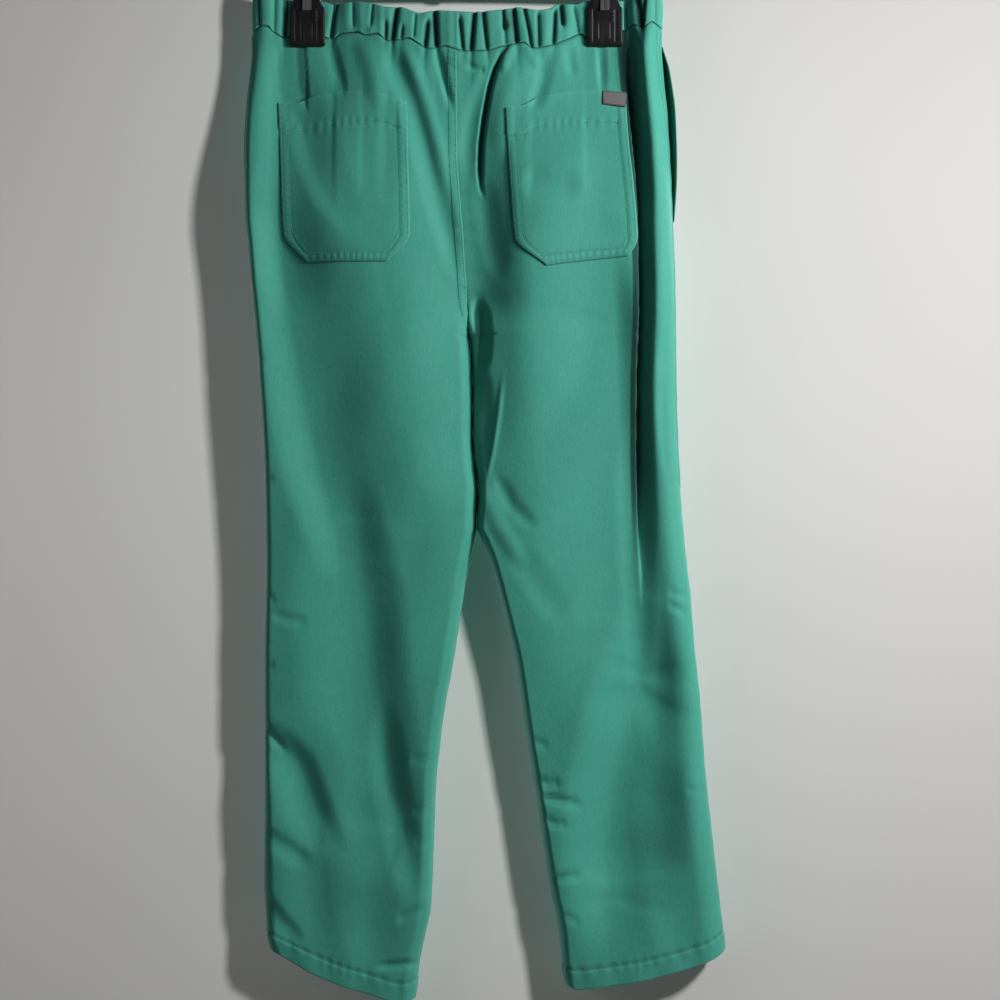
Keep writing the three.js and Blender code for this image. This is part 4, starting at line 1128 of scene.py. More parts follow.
    def piece(self, half: Half, face: Face) -> bpy.types.Object:
        """Makes one panel and lets it stand for its solid."""
        grid = self.grid(half, face)
        painted_shade = self.painted_shade(grid, face)
        grid.raise_by(self.relief(grid, face))
        wear = self.wear(grid)
        turned = [
            k for k in range(len(grid.rows)) if grid.rows[k] > self.form.hem_drop - self.hem_depth
        ][::-1]
        edge = grid.points[-1] - grid.normals[-1] * 0.7 - np.array([0, 0, 0.5])
        inside = grid.points[turned] - grid.normals[turned] * 1.5
        points = np.concatenate([grid.points, edge[None], inside])
        name = f"{face.value}_{half.label}_panel"
        faces = grid_faces(len(points), points.shape[1], flip=half is R)
        piece = mesh_piece(name, points, faces, self.finishes.cloth)
        set_attribute(piece, "wear", np.concatenate([wear, wear[-1:], wear[turned]]))
        # The painted shade goes on as a vertex attribute that darkens the cloth's colour.
        set_attribute(piece, "painted_shade", np.concatenate([painted_shade, painted_shade[-1:], painted_shade[turned]]))
        solidify(piece, self.cloth)
        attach(piece, "root")
        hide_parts(f"{face.value}_panel_{half.label}")
        self.stitch(grid, face)
        LOG.info("%s: %d quads", name, len(faces))
        return piece

    def stitch(self, grid: ClothGrid, face: Face) -> None:
        """Sews the hem, and the rows beside the centre and side seams."""
        up = self.form.hem_drop - grid.rows
        level = int(np.argmin(np.abs(up - self.hem_depth + 0.4)))
        self.sewing.add(grid.points[level, 2:-2], grid.normals[level, 2:-2], lift=0.42)
        if face is BACK and grid.half is L:
            top = grid.rows < self.form.crotch_drop - 18
            for inset in (1.6, 8.0):
                self.sewing.add(*self.beside(grid, grid.from_start, inset, top), lift=0.35)
        if face is BACK and grid.half is R:
            upper = grid.rows < 640
            for inset in (1.8, 6.4):
                self.sewing.add(*self.beside(grid, grid.from_end, inset, upper), lift=0.35)

    @staticmethod
    def beside(grid: ClothGrid, distances: Array, inset: float, rows: Array) -> tuple[Array, Array]:
        """The path at a distance from a panel's end, over some of its rows."""
        order = slice(None) if distances[0, 0] < distances[0, -1] else slice(None, None, -1)
        points, normals = [], []
        for i in np.flatnonzero(rows):
            near = distances[i, order]
            points.append([np.interp(inset, near, grid.points[i, order, axis]) for axis in range(3)])
            normals.append([np.interp(inset, near, grid.normals[i, order, axis]) for axis in range(3)])
        return np.array(points), unit(np.array(normals))


CLIP_CENTRES = {L: -149.0, R: 147.5}


@dataclass
class Waistband:
    """The elastic casing: a closed tube of cloth, gathered by the elastic inside it."""

    form: TrouserForm
    finishes: Finishes
    columns: int = 620
    thickness: float = 2.9
    bulge: float = 1.7
    cut: float = 1.9
    sharp: float = 1.8
    broad: float = 6.5

    def gathers(self, half: Half, face: Face, x: Array, height: float) -> Array:
        """How far the creases draw the casing in at a height: a sharp valley in a broad one at each."""
        total = np.zeros(x.shape)
        for top, seam, depth, start, end in GATHERS[half, face]:
            away = np.abs(x - seam - (top - seam) * height)
            held = ease((height - start + 0.16) / 0.2) * ease((end + 0.12 - height) / 0.2)
            total += depth * held * (
                self.cut * np.exp(-((away / self.sharp) ** 1.4)) + 0.5 * np.exp(-((away / self.broad) ** 2))
            )
        return total

    def piece(self, half: Half) -> bpy.types.Object:
        """Makes one half of the casing and lets it stand for its solid."""
        form = self.form
        loops, lengths = form.sections(half, np.array([form.waist_drop]))
        loop, along = loops[0], lengths[0]
        side, end = along[form.fine_steps], along[2 * form.fine_steps]
        place = np.linspace(0, end, self.columns)
        base = np.stack([np.interp(place, along, loop[:, axis]) for axis in range(3)], axis=-1)
        tangent = np.gradient(base, axis=0)
        out = unit(np.stack([tangent[:, 1], -tangent[:, 0], 0 * place], axis=-1)) * -half.outward
        x, on_back = base[:, 0], place < side
        free = ease((np.abs(x - CLIP_CENTRES[half]) - 17.5) / 5)
        ripple = 0.22 * np.sin(place / 1.9 + 1.3 * np.sin(place / 13)) * free
        top = np.where(on_back, SmoothCurve(TOP_LINE)(x), SmoothCurve(BAND_TOP)(x))
        bottom = np.where(on_back, form.waved_seam(x), form.waist_seam(x))
        points, creases = [], []
        for height, inward, proud, hold in self.profile():
            back = self.gathers(half, BACK, x, height) * on_back
            crease = (back + self.gathers(half, FRONT, x, height) * ~on_back) * free
            swell = self.bulge * math.sin(math.pi * min(max(height, 0), 1)) ** 0.7 * free
            lift = proud + swell * (1 if inward < 1 else 0.3) - (crease + ripple) * hold - inward
            row = base + out * lift[:, None]
            row[:, 2] = -(bottom + (top - bottom) * height)
            points.append(row)
            creases.append(crease)
        grid = np.array(points)
        name = f"casing_{half.label}"
        faces = grid_faces(len(grid), self.columns, flip=half is L)
        piece = mesh_piece(name, grid, faces, self.finishes.casing)
        crest = np.clip(1 - np.array(creases) / 1.5, 0, 1)
        rub = np.array([0.2 if height > 0.9 or height < 0.05 else 0.06 for height, *_ in self.profile()])
        set_attribute(piece, "wear", rub[:, None] * crest)
        # Painted shade: the casing's colour darkens in the floors of its deeper gathers.
        set_attribute(piece, "painted_shade", 0.8 * ease((np.array(creases) - 1.3) / 3.2))
        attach(piece, "root")
        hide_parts(f"waistband_{half.label}")
        LOG.info("%s: %d quads", name, len(faces))
        return piece

    def profile(self) -> list[tuple[float, float, float, float]]:
        """The casing's section, from its lower edge up the outside, over and down the inside.

        Returns:
            Rows of height as a share, way in, way out at its rolled edges, and share of the creases taken.
        """
        t = self.thickness
        lower = [
            (-0.02, 0.0, -0.1, 0.7), (-0.04, 0.0, 0.8, 0.75), (-0.025, 0.0, 1.5, 0.8),
            (0.02, 0.0, 1.7, 0.85),
        ]
        heights = (0.06, 0.1, 0.15, 0.21, 0.28, 0.36, 0.44, 0.52, 0.6, 0.68, 0.76, 0.83, 0.89, 0.94, 0.975)
        outside = [
            (
                h, 0.0, 1.0 - 0.7 * h + 0.6 * math.exp(-h / 0.06), 0.9 + 0.1 * math.sin(math.pi * h),
            ) for h in heights
        ]
        over = [(0.995, 0.3 * t, 0.2, 0.85), (1.0, 0.55 * t, 0.1, 0.8), (0.985, 0.85 * t, 0.0, 0.75)]
        inside = [(h, t, 0.0, 0.6) for h in (0.95, 0.8, 0.6, 0.4, 0.2, 0.05)]
        under = [(0.0, 0.8 * t, 0.0, 0.6), (-0.01, 0.45 * t, 0.0, 0.7), (-0.02, 0.0, -0.1, 0.7)]
        return lower + outside + over + inside + under


@dataclass(frozen=True)
class PocketShape:
    """A patch pocket's outline in (x, drop) millimetres: its two sides by drop and its top and bottom by x."""

    half: Half
    left: Pairs
    right: Pairs
    top: Pairs
    bottom: Pairs
    hem: Pairs


POCKETS = {
    L: PocketShape(
        L,
        left=[
            (244, -179.3), (254, -179), (283, -177), (330, -174), (388, -171), (391, -170),
            (416.5, -146.4),
        ],
        right=[
            (244, -50.3), (255, -50), (285, -48.7), (330, -47), (389, -45.6), (392, -46.5), (416.5, -68.4),
        ],
        top=[
            (-179, 254), (-157, 254.2), (-147, 251.5), (-131, 247), (-107, 244.6), (-84, 245.9),
            (-68, 249.6), (-50, 255),
        ],
        bottom=[(-179, 416.2), (-40, 416.2)],
        hem=[(-177, 283), (-158, 283), (-136, 280.7), (-119, 277), (-92, 275), (-68, 278), (-52, 284.5)],
    ),
    R: PocketShape(
        R,
        left=[(244, 48.2), (262, 48.3), (290, 49.6), (335, 52.5), (394, 57.4), (397, 59), (419.5, 87.5)],
        right=[(243, 168), (290, 170), (335, 174), (392, 178), (396, 177.5), (411, 168.5), (419.5, 162)],
        top=[(48, 262), (67, 259.6), (80, 252), (102, 247.5), (119, 244.9), (145, 244.2), (168, 245)],
        bottom=[(48, 420.8), (180, 410)],
        hem=[(50, 290), (66, 289.5), (71, 284), (93.5, 278.5), (128, 276.6), (169, 276)],
    ),
}


@dataclass
class PatchPockets:
    """The two patch pockets on the seat: hemmed mouths, turned edges and a double row of stitches."""

    form: TrouserForm
    finishes: Finishes
    sewing: Sewing
    rows: int = 132
    columns: int = 112
    height: float = 1.5
    edge_round: float = 1.2
    mouth_gap: float = 1.3
    row_gap: float = 7.0
    ladder_pitch: float = 6.5
    width: float = 128
    length: float = 168
    first_row: float = 2.2

    def lay(self, shape: PocketShape, across: Array, down: Array) -> tuple[Array, Array]:
        """The (x, drop) of shares across and down a pocket."""
        left, right = SmoothCurve(shape.left), SmoothCurve(shape.right)
        top, bottom = SmoothCurve(shape.top), SmoothCurve(shape.bottom)
        guess = left(300) + (right(300) - left(300)) * across
        drop = top(guess) + (bottom(guess) - top(guess)) * down
        return left(drop) + (right(drop) - left(drop)) * across, drop

    def piece(self, shape: PocketShape) -> bpy.types.Object:
        """Makes one pocket and lets it stand for its solid."""
        across, down = np.meshgrid(np.linspace(0, 1, self.columns), np.linspace(0, 1, self.rows))
        x, drop = self.lay(shape, across, down)
        points, normals = self.form.on_back(shape.half, x, drop)
        from_side = np.minimum(across, 1 - across) * self.width
        from_foot = (1 - down) * self.length
        sides = np.minimum(from_side, from_foot)
        mouth = down * self.length
        hem = SmoothCurve(shape.hem)(x)
        height = self.height * (0.25 + 0.75 * quarter_round(sides / self.edge_round))
        height += 0.45 * ease((hem - drop) / 1.2) - 0.45 * np.exp(-(((hem - drop) / 1.4) ** 2))
        height += self.mouth_gap * np.exp(-mouth / 14) * ease(sides / 22)
        seam = sum(
            np.exp(-(((sides - inset) / 1.1) ** 2)) for inset in (
                self.first_row, self.first_row + self.row_gap,
            )
        )
        along = np.where(from_foot < from_side, x, drop)
        turn = 2 * np.pi * along / self.ladder_pitch
        height += 0.4 * ease((self.row_gap + 3.5 - sides) / 1.5) - 0.38 * seam
        height += 0.2 * np.sin(turn + 2.2 * np.sin(along / 15)) * np.exp(-(((sides - 5.5) / 3.2) ** 2))
        hem_wave = np.sin(2 * np.pi * x / 9.5 + 2.2 * np.sin(x / 17)) + 0.5 * np.sin(x / 3.7 + 1)
        height += 0.24 * hem_wave * np.exp(-(((drop - hem) / 6) ** 2))
        height += 0.5 * np.sin(np.pi * across) * np.sin(np.pi * down) ** 2
        points = points + normals * height[..., None]
        name = f"seat_pocket_{shape.half.label}"
        faces = grid_faces(self.rows, self.columns, flip=True)
        piece = mesh_piece(name, points, faces, self.finishes.cloth)
        rub = 0.3 * np.exp(-((np.minimum(sides, mouth) / 1.3) ** 2)) + 0.05
        set_attribute(piece, "wear", rub)
        # Painted shade: a dark rim along the pocket's left and bottom edges, the side away from the light, and a
        # faint one along its stitch rows below the mouth.
        edge = np.minimum(across * self.width, from_foot)
        set_attribute(piece, "painted_shade", 0.55 * np.exp(-((edge / 0.9) ** 2)) + 0.2 * seam * ease(mouth / 4))
        solidify(piece, 0.5)
        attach(piece, "root")
        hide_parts(f"back_pocket_{shape.half.label}")
        self.stitch(shape)
        LOG.info("%s: %d quads", name, len(faces))
        return piece

    def stitch(self, shape: PocketShape) -> None:
        """Sews two rows round the sides and bottom, and the mouth's hem."""
        left, right = SmoothCurve(shape.left), SmoothCurve(shape.right)
        bottom = SmoothCurve(shape.bottom)
        for inset in (self.first_row, self.first_row + self.row_gap):
            corners = self.outline(left, right, bottom, SmoothCurve(shape.top), inset)
            self.add_path(shape.half, corners)
        x = np.linspace(float(left(283)) + 1, float(right(283)) - 1, 80)
        self.add_path(shape.half, np.stack([x, SmoothCurve(shape.hem)(x)], axis=-1))

    @staticmethod
    def outline(
        left: SmoothCurve, right: SmoothCurve, bottom: SmoothCurve, top: SmoothCurve, inset: float
    ) -> Array:
        """A path down one side, along the bottom and up the other, inside the outline by an inset."""
        sides, last = [], {}
        for curve, sign in ((left, 1), (right, -1)):
            start = float(top(curve(255))) + 1.5
            corner, end = curve.places[-3], float(bottom(curve.values[-1])) - inset
            drops = np.concatenate(
                [np.linspace(start, corner - 0.4 * inset, 60), np.linspace(corner, end, 14)]
            )
            slant = np.where(drops > corner - 0.4 * inset, 1.35, 1.0)
            path = np.stack([curve(drops) + sign * inset * slant, drops], axis=-1)
            sides.append(path)
            last[sign] = path[-1]
        along = np.linspace(last[1], last[-1], 40)[1:-1]
        return np.concatenate([sides[0], along, sides[1][::-1]])

    def add_path(self, half: Half, path: Array) -> None:
        """Adds a row of stitches over the pocket's own height."""
        points, normals = self.form.on_back(half, path[:, 0], path[:, 1])
        self.sewing.add(points + normals * (self.height - 0.15), normals, lift=0.35)


@dataclass
class PocketTab:
    """The small bare woven tab sewn over one pocket's corner."""

    form: TrouserForm
    finishes: Finishes
    corners: Sequence[tuple[float, float]] = ((144.5, 243.7), (169.3, 246.6), (168, 261), (145, 258))
    columns: int = 40
    rows: int = 26
    height: float = 3.4
    flat_span: tuple[float, float] = (146.0, 160.0)
    width: float = 24.5
    length: float = 14.5

    def plane(self, flat: Array) -> Array:
        """The points of a flat tape laid by the pocket's corner, level with the cloth over its flat part."""
        x, drop = flat[..., 0], flat[..., 1]
        start, end = self.flat_span
        first = self.form.depth(R, BACK, np.full(x.shape, start), drop)
        last = self.form.depth(R, BACK, np.full(x.shape, end), drop)
        lean = (last.mean() - first.mean()) / (end - start)
        y = first.mean() + lean * (x - start) + (first - first.mean())
        return np.stack([x, y, -drop], axis=-1)

    def piece(self) -> bpy.types.Object:
        """Makes the tab and lets it stand for its solid."""
        across, down = np.meshgrid(np.linspace(0, 1, self.columns), np.linspace(0, 1, self.rows))
        a, b, c, d = (np.array(corner) for corner in self.corners)
        flat = (
            a + (b - a) * across[..., None]
        ) * (1 - down[..., None]) + (d + (c - d) * across[..., None]) * down[..., None]
        points = self.plane(flat)
        normals = unit(np.cross(np.gradient(points, axis=0), np.gradient(points, axis=1)))
        edge = np.minimum(
            np.minimum(across, 1 - across) * self.width, np.minimum(down, 1 - down) * self.length,
        )
        height = self.height + 0.45 * quarter_round(edge / 0.7) + 0.25 * np.sin(np.pi * across)
        points = points + normals * height[..., None]
        piece = mesh_piece(
            "pocket_tab", points, grid_faces(self.rows, self.columns, flip=True), self.finishes.tape,
        )
        set_attribute(piece, "border", np.clip(1.6 - edge, 0, 1))
        solidify(piece, 0.5)
        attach(piece, "root")
        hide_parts("pocket_label")
        return piece


@dataclass
class PocketMouths:
    """The turned edges of the side pockets' mouths. The right one stands off the side."""

    form: TrouserForm
    finishes: Finishes
    sewing: Sewing
    rows: int = 70
    columns: int = 24
    reach: tuple[float, float] = (-3.0, 22.0)
    lift: dict[Half, float] = field(default_factory=lambda: {L: 0.35, R: 0.9})
    gapes: dict[Half, Pairs] = field(
        default_factory=lambda: {
            L: [(208, 0.0), (290, 0.2), (372, 0.0)],
            R: [(208, 0.3), (232, 6), (262, 7), (294, 6.4), (330, 4.6), (372, 0.3)],
        }
    )

    def piece(self, half: Half) -> bpy.types.Object:
        """Makes one mouth's facing and lets it stand for its solid."""
        form, levels = self.form, np.linspace(208, 372, self.rows)
        loops, lengths = form.sections(half, levels)
        share = np.linspace(0, 1, self.columns)
        places = lengths[:, form.fine_steps][:, None] + self.reach[0] + (
            self.reach[1] - self.reach[0]
        ) * share[None]
        points = np.stack(
            [
                np.stack([np.interp(p, s, loop[:, axis]) for axis in range(3)], axis=-1) for p, s,
                loop in zip(places, lengths, loops)
            ]
        )
        grid = ClothGrid(half, points, places, places, levels)
        gape = SmoothCurve(self.gapes[half])(levels)[:, None] * (1 - share[None]) ** 1.5
        roll = 0.5 * np.exp(-((share[None] * 25 / 1.5) ** 2))
        grid.raise_by(self.lift[half] * (1 + roll) + gape)
        name = f"side_pocket_mouth_{half.label}"
        # The right mouth wears the darker copy of the cloth, as painted shade for the shadow it lies in.
        piece = mesh_piece(
            name, grid.points, grid_faces(self.rows, self.columns, flip=half is R),
            self.finishes.facing if half is R else self.finishes.cloth,
        )
        set_attribute(piece, "wear", 0.3 * np.exp(-share[None] * 12) * np.ones((self.rows, 1)))
        solidify(piece, 0.8)
        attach(piece, "root")
        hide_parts(f"side_pocket_facing_{half.label}")
        index = int(0.3 * self.columns)
        self.sewing.add(grid.points[:, index], grid.normals[:, index], lift=0.35)
        return piece


def swept(path: Array, radius: float, sides: int) -> tuple[Array, Array]:
    """The points and faces of a round bar along a path in the XZ plane, with domed ends."""
    tangent = unit(np.gradient(path, axis=0))
    across = np.stack([-tangent[:, 2], 0 * tangent[:, 0], tangent[:, 0]], axis=-1)
    turn = 2 * np.pi * np.arange(sides) / sides
    rings, shrink = [], [(0, -0.9, 0.35), (0, -0.5, 0.8)]
    stations = [(0, back, size) for _, back, size in shrink]
    stations += [(i, 0, 1) for i in range(len(path))]
    stations += [(len(path) - 1, -back, size) for _, back, size in reversed(shrink)]
    for i, ahead, size in stations:
        centre = path[i] + tangent[i] * (ahead * radius)
        ring = across[i] * np.cos(turn)[:, None] + np.array([0, 1, 0]) * np.sin(turn)[:, None]
        rings.append(centre + ring * (radius * size))
    points = np.array(rings)
    faces = grid_faces(len(points), sides, closed=True)
    caps = [list(range(sides))[::-1], [(len(points) - 1) * sides + k for k in range(sides)]]
    fans = [(cap[0], cap[k], cap[k + 1], cap[k + 1]) for cap in caps for k in range(1, sides - 1)]
    return points.reshape(-1, 3), np.concatenate([faces, np.array(fans)])


@dataclass
class Hanger:
    """The clip hanger: wire hook, arched bar with its neck, and two clips with strip springs."""

    finishes: Finishes
    bar_end: float = 163
    bar_drop: float = 146
    bar_rise: float = 6
    bar_radius: float = 4.5
    neck_top: float = 126
    neck_bottom: float = 149
    wire: float = 1.6
    hook: float = 22

    def hook_piece(self) -> bpy.types.Object:
        """The shank that rises from the neck and turns over the rod."""
        centre = self.wire - self.hook
        turn = np.radians([-38, -10, 20, 55, 90, 125, 160, 188, 206])
        arc = np.stack([self.hook * np.cos(turn), 0 * turn, centre + self.hook * np.sin(turn)], axis=-1)
        shank = np.array([(0, 0, z) for z in (-self.neck_top + 0.3, -100, -72, -56)] + [(6, 0, -45)])
        knots = np.concatenate([shank, arc])
        along = np.concatenate([[0], np.cumsum(np.linalg.norm(np.diff(knots, axis=0), axis=1) ** 0.5)])
        fine = np.linspace(0, along[-1], 150)
        path = np.stack([self.spline(along, knots[:, axis], fine) for axis in range(3)], axis=-1)
        points, faces = swept(path, self.wire, 18)
        piece = mesh_piece("hook_wire", points, faces, self.finishes.steel)
        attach(piece, "root")
        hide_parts("hanger_hook")
        return piece

    @staticmethod
    def spline(places: Array, values: Array, at: Array) -> Array:
        """A curve through values with Catmull-Rom tangents."""
        tangent = np.gradient(values, places)
        i = np.clip(np.searchsorted(places, at, side="right") - 1, 0, len(places) - 2)
        span = places[i + 1] - places[i]
        u = (at - places[i]) / span
        rise = values[i + 1] - values[i]
        start, end = tangent[i] * span, tangent[i + 1] * span
        return values[i] + u * (start + u * (3 * rise - 2 * start - end + u * (start + end - 2 * rise)))

    def bar_piece(self) -> bpy.types.Object:
        """The arched bar with the neck turned round its middle."""
        share = np.linspace(-1, 1, 60)
        arch = (1 - share**2) * self.bar_rise / 2
        path = np.stack([share * (self.bar_end - 1), 0 * share, -self.bar_drop + arch], axis=-1)
        points, faces = swept(path, self.bar_radius, 24)
        profile = [
            (0.01, self.neck_bottom), (5, self.neck_bottom), (7.2, self.neck_bottom - 1.2),
            (8, self.neck_bottom - 3.4),
            (8, self.neck_top + 10), (7.2, self.neck_top + 6.5), (5.2, self.neck_top + 2.6),
            (4.3, self.neck_top + 0.8),
            (3.6, self.neck_top + 0.1), (0.01, self.neck_top),
        ]
        turn = 2 * np.pi * np.arange(32) / 32
        neck = np.array([[(r * math.cos(a), r * math.sin(a), -drop) for a in turn] for r, drop in profile])
        neck_faces = grid_faces(len(profile), 32, closed=True) + len(points)
        piece = mesh_piece("hanger_rail", np.concatenate([points, neck.reshape(-1, 3)]),
                           np.concatenate([faces, neck_faces]), self.finishes.plastic)
        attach(piece, "root")
        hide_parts("hanger_bar")
        return piece

    def dress_springs(self) -> None:
        """Rounds the strip springs' edges and gives them their finish."""
        for half in Half:
            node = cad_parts[f"clip_spring_{half.label}"]
            node.data.materials.clear()
            node.data.materials.append(self.finishes.steel)
            edge = node.modifiers.new("rolled_edge", "BEVEL")
            edge.width = 0.25 * MM
            edge.segments = 3
            edge.limit_method = "ANGLE"
            edge.angle_limit = math.radians(35)


@dataclass
class ClipJaw:
    """One moulded jaw of a clip, as a closed shell with rails at its sides and ribs on its middle."""

    finishes: Finishes
    half: Half
    face: Face
    grip: float = 4.4
    grip_by_bar: float = 5.0
    bar_end: float = 157
    top: float = 134
    foot: float = 198
    columns: int = 76
    rows: int = 112
    outline: Pairs = ((134, 9.8), (
        135.5, 12.4,
    ), (138, 13.5), (153, 13.5), (157, 14.6), (160.5, 17.3), (163, 17.5),
                      (195, 17.5), (197, 16.8), (198, 15.2))
    front: Pairs = ((134, 8.4), (135, 9.6), (137.5, 10.2), (158, 10.2), (161, 9.6), (186, 9.5), (192, 8.9),
                    (196, 7.9), (198, 6.2))
    ribs: Sequence[float] = (163.5, 167.5, 171.5)

    def outside(self, x: Array, drop: Array, edge: Array) -> Array:
        """How far the jaw's outside lies from the mid plane."""
        depth = SmoothCurve(self.front)(drop) - 1.3 * (1 - quarter_round(edge / 1.3))
        body = ease((drop - 161) / 1.2) * ease((194.5 - drop) / 1.5)
        away = np.abs(x)
        channel = ease((away - 9.0) / 1.4) * ease((13.2 - away) / 1.4)
        depth = depth - 0.4 * channel * body
        middle = ease((8.6 - away) / 0.5)
        for rib in self.ribs:
            depth = depth + 0.7 * middle * np.exp(-(((drop - rib) / 0.8) ** 4))
        groove = np.exp(-(((away - 5.6) / 0.5) ** 2)) * ease((drop - 175) / 1.5) * ease((192 - drop) / 2)
        return depth - 0.45 * groove

    def piece(self) -> bpy.types.Object:
        """Makes the jaw and lets it stand for its solid."""
        drops = 0.5 - 0.5 * np.cos(np.pi * np.linspace(0.06, 0.94, self.rows))
        drops = self.top + (self.foot - self.top) * (drops - drops[0]) / (drops[-1] - drops[0])
        across = np.linspace(-1, 1, self.columns)
        width = SmoothCurve(self.outline)(drops)[:, None]
        x, drop = across[None] * width, drops[:, None] + 0 * across[None]
        edge = np.minimum((1 - np.abs(across))[None] * width, np.minimum(drop - self.top, self.foot - drop))
        outside = self.outside(x, drop, edge)
        inside = np.where(drop < self.bar_end, self.grip_by_bar, self.grip)
        shell = np.stack([x, outside, -drop], axis=-1)
        back = np.stack([x, inside, -drop], axis=-1)
        middle = back[:, self.columns // 2 : self.columns // 2 + 1]
        tube = np.concatenate([middle, back[:, :1], shell, back[:, -1:]], axis=1)
        caps = [np.stack(
            [ring[:, 0], np.full(len(ring), 0.5 * (inside[0, 0] + ring[:, 1].max())), ring[:, 2]], axis=-1,
        )
                for ring in (tube[0], tube[-1])]
        grid = np.concatenate([caps[0][None], tube, caps[1][None]])
        sign = -1 if self.face is BACK else 1
        grid[..., 1] *= sign
        grid[..., 0] += CLIP_CENTRES[self.half]
        name = f"jaw_{self.face.value}_{self.half.label}"
        faces = grid_faces(grid.shape[0], grid.shape[1], flip=self.face is FRONT, closed=True)
        piece = mesh_piece(name, grid, faces, self.finishes.plastic)
        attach(piece, "root")
        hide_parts(f"clip_{self.face.value}_jaw_{self.half.label}")
        return piece


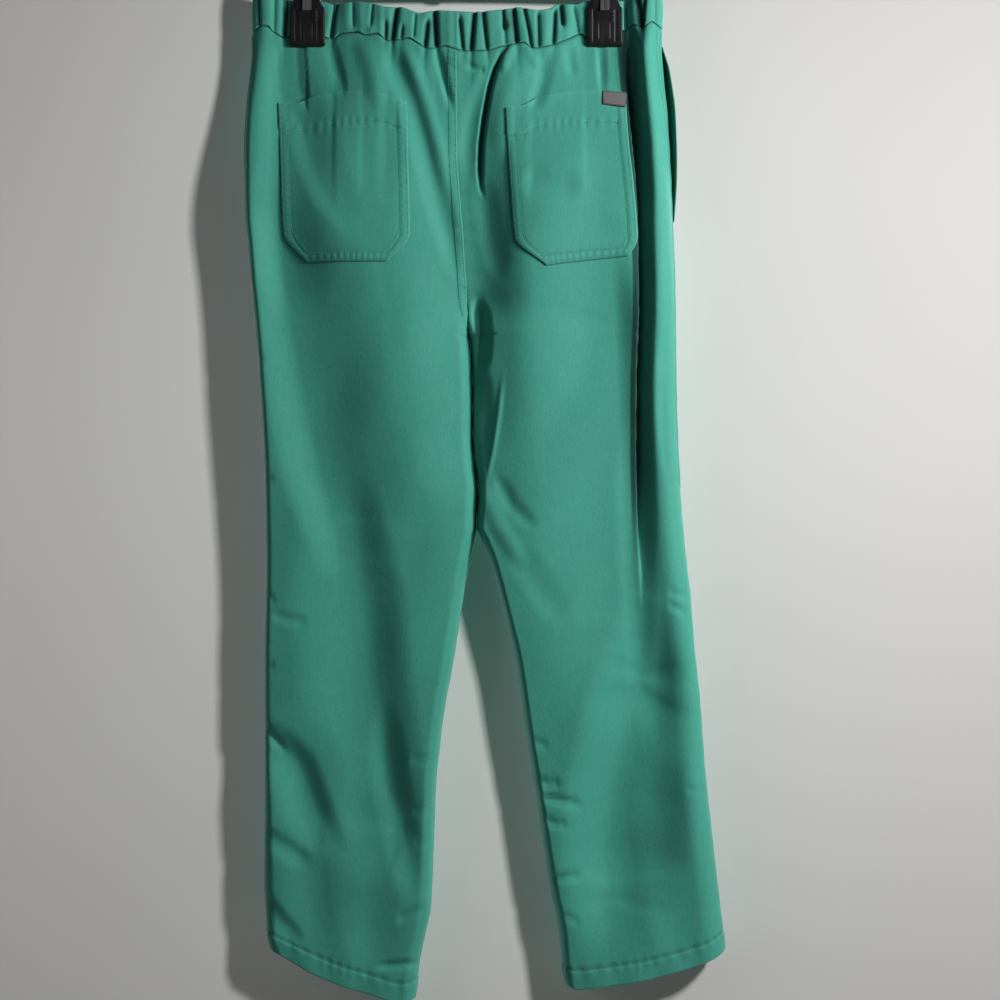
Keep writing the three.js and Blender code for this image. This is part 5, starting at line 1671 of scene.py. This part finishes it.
@dataclass
class Studio:
    """The camera, the pale wall close behind, the floor and soft light from the upper right."""

    finishes: Finishes
    middle: tuple[float, float, float] = (0.043, 0.0, -0.65)
    distance: float = 2.0
    view_height: float = 1.0
    wall_behind: float = 0.04

    def camera(self) -> None:
        """Looks straight at the seat, with 1 m of height in the view at the trousers' mid plane."""
        data = bpy.data.cameras.new("camera")
        data.sensor_width = data.sensor_height = 36
        data.lens = 36 * self.distance / self.view_height
        camera = bpy.data.objects.new("camera", data)
        camera.location = Vector(self.middle) - Vector((0, self.distance, 0))
        camera.rotation_euler = (math.pi / 2, 0, 0)
        bpy.context.scene.collection.objects.link(camera)
        bpy.context.scene.camera = camera

    def backdrop(self) -> None:
        """A wall behind and a floor below, one swept sheet with a coved corner."""
        y, floor, radius = self.wall_behind * 1000, -1900.0, 260.0
        bend = [
            (
                y - radius * (1 - math.sin(a)), floor + radius * (1 - math.cos(a)),
            ) for a in np.linspace(0, math.pi / 2, 16)
        ]
        profile = [(-2600.0, floor), *bend, (y, 1400.0)]
        xs = np.linspace(-2600, 2600, 30)
        points = np.array([[(x, py, pz) for x in xs] for py, pz in profile])
        wall = mesh_piece("wall_and_floor", points, grid_faces(len(profile), len(xs)), self.finishes.wall)

    def lights(self) -> None:
        """A soft key from the upper right that grazes the seat, a broad dim fill, and two lamps for the front."""
        key = self.panel("key", (1.08, -0.66, -0.12), 0.24, 17.5, (1, 0.99, 0.965))
        front = self.panel("front", (1.25, -1.4, 0.1), 0.15, 8, (1, 0.995, 0.98))
        wash = self.panel("wall_wash", (0.75, -1.1, -0.25), 0.12, 15, (1, 0.99, 0.975))
        bounce = self.panel("wall_bounce", (-0.72, -0.7, -0.62), 0.5, 0.9, (1, 0.99, 0.975))
        self.panel("fill", (-0.9, -2.2, -0.5), 1.6, 1.2, (0.95, 0.98, 1))
        wall = bpy.data.objects["wall_and_floor"]
        behind = self.panel("front_key", (0.95, 1.5, 0.1), 0.5, 20, (1, 0.99, 0.97))
        across = self.panel("front_fill", (-1.2, 1.9, -0.7), 1.2, 9, (0.96, 0.98, 1))
        self.link(wall, "EXCLUDE", [key, front])
        self.link(wall, "EXCLUDE", [behind, across], blocks=True)
        self.link(wall, "INCLUDE", [wash, bounce])
        world = bpy.data.worlds.new("studio")
        world.use_nodes = True
        background = world.node_tree.nodes["Background"]
        background.inputs["Color"].default_value = (0.96, 0.98, 1, 1)
        background.inputs["Strength"].default_value = 0.045
        tree = world.node_tree
        seen = tree.nodes.new("ShaderNodeBackground")
        seen.inputs["Color"].default_value = (0.82, 0.83, 0.84, 1)
        seen.inputs["Strength"].default_value = 0.62
        chosen = tree.nodes.new("ShaderNodeMixShader")
        tree.links.new(tree.nodes.new("ShaderNodeLightPath").outputs["Is Camera Ray"], chosen.inputs[0])
        tree.links.new(background.outputs["Background"], chosen.inputs[1])
        tree.links.new(seen.outputs["Background"], chosen.inputs[2])
        tree.links.new(chosen.outputs["Shader"], tree.nodes["World Output"].inputs["Surface"])
        bpy.context.scene.world = world

    @staticmethod
    def link(
        wall: bpy.types.Object, state: str, lamps: Sequence[bpy.types.Object], blocks: bool = False
    ) -> None:
        """Makes lamps light only the wall, or all but the wall, which then casts no shadow for them if asked.

        Args:
            wall: The wall and floor.
            state: INCLUDE for lamps of the wall alone, EXCLUDE for lamps of all but the wall.
            lamps: The lamps.
            blocks: Whether the same group also says what casts shadows for the lamps.
        """
        group = bpy.data.collections.new(f"{lamps[0].name}_{state.lower()}_wall")
        group.objects.link(wall)
        group.collection_objects[0].light_linking.link_state = state
        for lamp in lamps:
            lamp.light_linking.receiver_collection = group
            if blocks:
                lamp.light_linking.blocker_collection = group

    def panel(
        self, name: str, place: tuple[float, float, float], size: float, power: float, tint: tuple
    ) -> bpy.types.Object:
        """Adds one square light that faces the middle of the trousers.

        Args:
            name: The lamp's name.
            place: Where it stands, in metres.
            size: Its side, in metres.
            power: Its power, in watts.
            tint: Its colour.

        Returns:
            The lamp.
        """
        data = bpy.data.lights.new(name, "AREA")
        data.size, data.energy, data.color = size, power, tint
        lamp = bpy.data.objects.new(name, data)
        lamp.location = place
        lamp.rotation_euler = (Vector(self.middle) - Vector(place)).to_track_quat("-Z", "Y").to_euler()
        bpy.context.scene.collection.objects.link(lamp)
        return lamp


def main() -> None:
    """Builds the studio and every piece in order."""
    logging.basicConfig(level=logging.INFO, format="%(name)s %(message)s")
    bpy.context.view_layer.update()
    bpy.context.scene.view_settings.view_transform = "Standard"
    finishes = Finishes.build()
    studio = Studio(finishes)
    studio.camera()
    studio.backdrop()
    studio.lights()
    form = TrouserForm()
    sewing = Sewing("stitching")
    band = Waistband(form, finishes)
    panels = TrouserPanels(form, finishes, sewing)
    mouths = PocketMouths(form, finishes, sewing)
    for half in Half:
        band.piece(half)
        for face in Face:
            panels.piece(half, face)
        mouths.piece(half)
    pockets = PatchPockets(form, finishes, sewing)
    for shape in POCKETS.values():
        pockets.piece(shape)
    PocketTab(form, finishes).piece()
    sewing.build(finishes.thread)
    hanger = Hanger(finishes)
    hanger.hook_piece()
    hanger.bar_piece()
    hanger.dress_springs()
    for half in Half:
        for face in Face:
            ClipJaw(finishes, half, face).piece()


if __name__ == "__main__":
    main()
